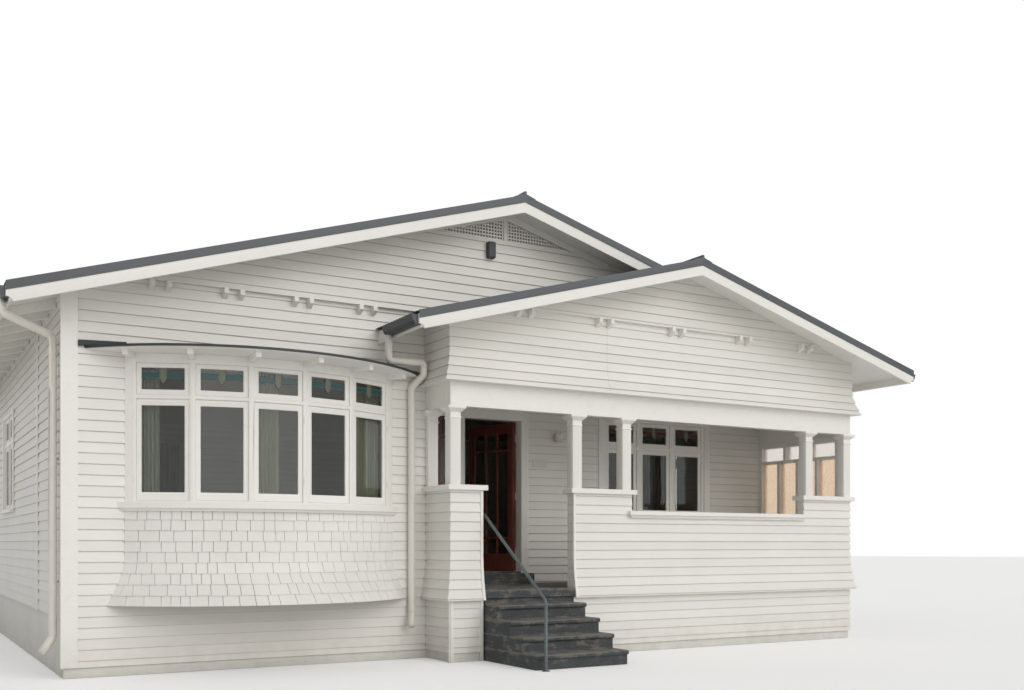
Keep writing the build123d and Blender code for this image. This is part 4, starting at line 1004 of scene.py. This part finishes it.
# The door, the glass and the other fittings
dress("front_door", red_joinery, "red_joinery", 0.003, body="door")
dress("sidelight_sash", red_joinery, "red_joinery", 0.003)
dress("front_door_knobs", brass, "brass_knobs", 0.0, smooth=50, body="door")
dress("front_door_glass", clear_glass, "clear_glass", 0.0, smooth=None, body="door")
for node in ("bow_window_glass", "porch_window_glass", "side_window_glass"):
    dress(node, clear_glass, "clear_glass", 0.0, smooth=None)
dress("sidelight_glass", obscure_glass, "obscure_glass", 0.0, smooth=None)
dress("side_screen_glass", peach_glass, "peach_glass", 0.0, smooth=None)
dress("handrail", rail_paint, "grey_rail", 0.0, smooth=50)
dress("wall_lamp", lamp_glass, "lamp_glass", 0.0, smooth=50)
dress("door_plate", plate_paint, "bare_plate", 0.002)
dress("service_box", box_paint, "black_box", 0.018, 4)
for node, finish, slot in (
    ("porch_wall_over_door", boards, "white_boards"),
    ("house_floor", floor_timber, "floor_boards"),
    ("house_ceiling", plaster, "plaster_ceiling"),
):
    dress(node, finish, slot, 0.0, smooth=None)


# Sheer curtains, gathered on a slim rail inside the glass
def gathered(name, place, width, z, pleats):
    """One curtain. Place takes a distance along the rail and an offset from it
    to the drawing, and the pleats are how many folds it hangs in."""
    across, up = pleats * 10, 14
    depth, drift, uneven, sway = 0.022, 0.15, 0.004, 2.3
    bm = bmesh.new()
    net = bmesh.ops.create_grid(bm, x_segments=across, y_segments=up, size=0.5)["verts"]
    for vert in net:
        share, rise = vert.co.x + 0.5, vert.co.y + 0.5
        turn = 2 * pi * pleats * share + drift * sin(7 * share) * (1 - rise)
        x, y = place(share * width, depth * sin(turn) + uneven * sin(sway * turn + 1))
        vert.co = Vector((x, y, z[0] + rise * (z[1] - z[0])))
    cut = sum(face.calc_area() for face in bm.faces) / (z[1] - z[0])
    made = piece(name, bm, curtain_cloth, "white_trim", (), outwards=False, smooth=60)
    thickened(made, "cloth_thickness", 0.0008, 0)


rail_radius = bow_radius - 0.15
curtain_z = (1.872, 3.352)
rail_height = 0.018


def on_bow(turn, radius):
    return bow_x + radius * sin(turn), bow_centre - radius * cos(turn)


bm = bmesh.new()
steps = 20
for n in range(steps):
    turns = [bow_bay * 5 * (m / steps - 0.5) for m in (n, n + 1)]

    def corner_at(i, j, k):
        radius = (rail_radius + 0.033, rail_radius - 0.012)[j]
        return Vector((*on_bow(turns[i], radius), curtain_z[1] + (rail_height if k else 0.0)))

    slab(bm, corner_at)
bmesh.ops.remove_doubles(bm, verts=bm.verts, dist=0.0001)
inner = [face for face in bm.faces if all(len(e.link_faces) > 2 for e in face.edges)]
bmesh.ops.delete(bm, geom=inner, context="FACES")
piece("bow_curtain_rail", bm, trim, "white_trim")
# Each starts so many bays from the middle of the bow and is so many bays wide
for name, start, share, pleats in (
    ("bow_curtain_left", -2.46, 0.36, 5),
    ("bow_curtain_middle", -0.45, 0.52, 8),
    ("bow_curtain_right", 1.5, 0.98, 12),
):

    def place(along, offset):
        return on_bow(start * bow_bay + along / rail_radius, rail_radius + offset)

    gathered(name, place, share * bow_bay * rail_radius, curtain_z, pleats)

# Curtains drawn across the windows at the sides and back
wall_inside = -0.14
rail_at = wall_inside - 0.05
rail_z, rail_thick, rail_length, bracket_at = 3.37, 0.018, 1.5, 0.7
side_curtain_z, side_curtain_width = (1.84, 3.366), 1.36
for name, wall, centre in (
    ("left_front", left_side, left_windows[0]),
    ("left_rear", left_side, left_windows[1]),
    ("right_front", right_side, right_windows[0]),
    ("right_rear", right_side, right_windows[1]),
    ("back_left", back, back_windows[0]),
    ("back_right", back, back_windows[1]),
):
    bm = bmesh.new()
    middle = Matrix.Translation((centre, rail_at, rail_z))
    bmesh.ops.create_cone(
        bm,
        cap_ends=True,
        segments=12,
        radius1=rail_thick / 2,
        radius2=rail_thick / 2,
        depth=rail_length,
        matrix=wall @ middle @ Matrix.Rotation(pi / 2, 4, "Y"),
    )
    for end in (-bracket_at, bracket_at):
        reach = (rail_at, wall_inside + close)
        bracket = bar(bm, centred(centre + end, 0.02), reach, centred(rail_z, 0.02))
        bmesh.ops.transform(bm, matrix=wall, verts=bracket)
    rail = piece(name + "_curtain_rail", bm, trim, "white_trim").name

    def place(along, offset):
        start = centre - side_curtain_width / 2
        spot = wall @ Vector((start + along, rail_at + offset, 0))
        return spot.x, spot.y

    gathered(name + "_curtain", place, side_curtain_width, side_curtain_z, 15)


# Small fittings
def ring(bm, middle, radius, depth):
    matrix = Matrix.Translation(middle)
    bmesh.ops.create_cone(
        bm, cap_ends=True, segments=24, radius1=radius, radius2=radius, depth=depth, matrix=matrix
    )


bm = bmesh.new()
for (x, y), heights in (
    ((-pipe_off, 0.19), (3.42, 2.24, 0.95)),
    ((porch_pipe_x, -pipe_off), (3.13, 2.0, 0.62)),
):
    for z in heights:
        ring(bm, (x, y, z), 0.0475, 0.045)
        ring(bm, (x, y, z + 0.026), 0.0455, 0.012)
sleeves = piece("pipe_sleeves", bm, pipe_paint, "cream_pipe", smooth=50)
soft = sleeves.modifiers.new("eased_edges", "BEVEL")
soft.width = 0.002
soft.segments = 2
soft.limit_method = "ANGLE"

bm = bmesh.new()
hinge_share = 0.468
for bay, side in ((-2, -1), (0, 1), (2, 1)):
    spot = on_bow(bow_bay * (bay + side * hinge_share), bow_radius + 0.004)
    for z in (2.12, 2.8):
        ring(bm, (*spot, z), 0.006, 0.075)
piece("sash_hinges", bm, trim, "white_trim", smooth=50)


# Leaded upper lights: a coloured band, and a pale drop that hangs across it
def leaded_lights(name, node, above, band_finish):
    """Heights are counted down from the head of each pane, as shares of it."""
    band_top, band_foot, shoulders, point = 0.2, 0.47, 0.52, 0.72
    least_pane, drop_share, tip, came = 0.02, 0.17, 0.001, 0.006
    skin, tint = (0.0005, 0.006), (0.0005, 0.003)
    glass = drawn(node)
    panes = [f for f in glass.faces if f.normal.y < -0.5 and f.calc_center_median().z > above]
    panes = [f for f in panes if f.calc_area() > least_pane]
    lead, band, drops = bmesh.new(), bmesh.new(), bmesh.new()
    for pane in panes:
        out = pane.normal.copy()
        along = Vector((-out.y, out.x, 0))
        spread = [(vert.co - pane.verts[0].co).dot(along) for vert in pane.verts]
        heights = [vert.co.z for vert in pane.verts]
        half, low, high = (max(spread) - min(spread)) / 2, min(heights), max(heights)
        middle = pane.calc_center_median()
        on_pane = facing((middle.x, middle.y, 0), along, out)
        drop = drop_share * half
        rows = [high - share * (high - low) for share in (band_top, band_foot, shoulders, point)]
        local = [(lead, bmesh.new()), (band, bmesh.new()), (drops, bmesh.new())]
        bars, tints, clears = (pair[1] for pair in local)
        for side in (-1, 1):
            reach = sorted((side * drop, side * half))
            bar(tints, reach, tint, (rows[1], rows[0]))
            for z in rows[:2]:
                bar(bars, reach, skin, centred(z, came))
            bar(bars, centred(side * drop, came), skin, (rows[2], high))

            def corner_at(i, j, k):
                x = side * (drop if i else 0.0) + (came / 2 if k else -came / 2)
                return Vector((x, skin[j], rows[2] if i else rows[3]))

            slab(bars, corner_at)
        bar(clears, (-drop, drop), tint, (rows[2], high))

        def corner_at(i, j, k):
            half_width = drop if k else tip
            return Vector((half_width if i else -half_width, tint[j], rows[2] if k else rows[3]))

        slab(clears, corner_at)
        for whole, share in local:
            bmesh.ops.transform(share, matrix=on_pane, verts=share.verts)
            joined(whole, share)
    glass.free()
    piece(name + "_lead", lead, lead_came, "clear_glass")
    piece(name + "_band", band, band_finish, "clear_glass")
    piece(name + "_drops", drops, pale_glass, "clear_glass")


leaded_lights("bow_leadlights", "bow_window_glass", 3.0, teal_glass)
leaded_lights("porch_leadlights", "porch_window_glass", 2.8, russet_glass)

# Knuckles of the front door's hinges, on its pin
bm = bmesh.new()
for z in (1.3, 2.1, 2.93):
    ring(bm, (*door_pin, z), 0.007, 0.1)
    ring(bm, (*door_pin, z + 0.055), 0.005, 0.012)
piece("door_hinges", bm, light_metal, "bare_plate", smooth=50)


# Plain strips that close the ends of the boards on the piers
strip_tuck, strip_proud, foot_proud = -0.01, 0.012, 0.014


def end_strip(bm, along):
    levels = 10
    for n in range(levels):
        span = [flare_base + (pier_top - flare_base) * m / levels for m in (n, n + 1)]

        def corner_at(i, j, k):
            swell = pier_lean(span[k] - (inside if k else -inside))
            out = swell + (strip_proud if j else strip_tuck)
            return porch_face @ Vector((along[i], out, span[k]))

        slab(bm, corner_at)


bm = bmesh.new()
strip_width, corner_strip, foot_strip = 0.034, 0.035, 0.04
for along in ((entry[0] - strip_width, entry[0]), (entry[1], entry[1] + strip_width)):
    end_strip(bm, along)
for wall, along in (
    (porch_face, (porch_left, porch_left + corner_strip)),
    (porch_face, (entry[0] - foot_strip, entry[0])),
    (porch_face, (entry[1], entry[1] + foot_strip)),
    (porch_west, (porch_front, porch_front + corner_strip)),
):
    base = bmesh.new()
    bar(base, along, (strip_tuck, foot_proud), (0.0, flare_base))
    bmesh.ops.transform(base, matrix=wall, verts=base.verts)
    joined(bm, base)
piece("pier_end_strips", bm, trim, "white_trim")

# Folded flashing over the left end of the hood, from its low end to its high one
bm = bmesh.new()
flashing_x, flashing_front = (0.16, 0.62), (-0.03, -0.16)
flashing_z, flashing_height = (3.49, 3.535), (0.062, 0.012)


def corner_at(i, j, k):
    y = 0.0 if j else flashing_front[i]
    return Vector((flashing_x[i], y, flashing_z[i] + (flashing_height[i] if k else 0.0)))


slab(bm, corner_at)
piece("hood_flashing", bm, hood_steel, "roof_steel")

# ---------------------------------------------------------------- stage
def seen_by_view(tree):
    """One for rays that reach the camera straight, by a mirror or through glass."""
    path = tree.nodes.new("ShaderNodeLightPath")
    seen = path.outputs["Is Camera Ray"]
    for kind in ("Is Glossy Ray", "Is Transmission Ray"):
        either = tree.nodes.new("ShaderNodeMath")
        either.operation = "MAXIMUM"
        tree.links.new(seen, either.inputs[0])
        tree.links.new(path.outputs[kind], either.inputs[1])
        seen = either.outputs[0]
    return seen


ground = Finish("pale_floor", 0.9)
pale = [(0.3, (0.76, 0.76, 0.75)), (0.7, (0.79, 0.79, 0.78))]
ground.colour(ground.ramp(ground.noise(0.4, 3.0), pale))
ground.shader.inputs["Emission Color"].default_value = (1.0, 1.0, 1.0, 1.0)
glow = ground.math("MULTIPLY", seen_by_view(ground.tree), 0.24)
ground.link(glow, ground.shader.inputs["Emission Strength"])
bm = bmesh.new()
bmesh.ops.create_circle(bm, cap_ends=True, segments=96, radius=120)
mesh = bpy.data.meshes.new("floor")
bm.to_mesh(mesh)
bm.free()
mesh.materials.append(ground.material)
floor_disc = placed("floor", mesh)
floor_disc.location.z = -0.002

# White surroundings that light the house at half the strength they are seen with
world = bpy.data.worlds.new("soft_white")
world.use_nodes = True
bpy.context.scene.world = world
tree = world.node_tree
level = tree.nodes.new("ShaderNodeMapRange")
level.inputs["To Min"].default_value = 0.5
level.inputs["To Max"].default_value = 1.0
tree.links.new(seen_by_view(tree), level.inputs["Value"])
background = tree.nodes["Background"]
background.inputs["Color"].default_value = (1.0, 1.0, 1.0, 1.0)
tree.links.new(level.outputs["Result"], background.inputs["Strength"])

# A soft key light and a warmer, lower fill
for name, energy, tint, tilt, turn in (
    ("key", 0.85, (1.0, 1.0, 1.0), 54, 22),
    ("fill", 0.55, (1.0, 0.95, 0.89), 78, 8),
):
    lamp = bpy.data.lights.new(name, "SUN")
    lamp.energy = energy
    lamp.color = tint
    lamp.angle = radians(50)
    placed(name, lamp).rotation_euler = (radians(tilt), 0, radians(turn))

# The camera, at eye height before the left front corner, with its lens shifted up
lens = bpy.data.cameras.new("view")
lens.lens = 37.593
lens.sensor_width = 36.0
lens.shift_y = 0.1948
lens.clip_end = 500.0
view = placed("view", lens)
view.location = Vector((-1.619, -11.967, 1.406)) - house_corner
view.rotation_euler = (radians(90), 0, radians(-30.551))
bpy.context.scene.camera = view
bpy.context.scene.view_settings.view_transform = "Standard"
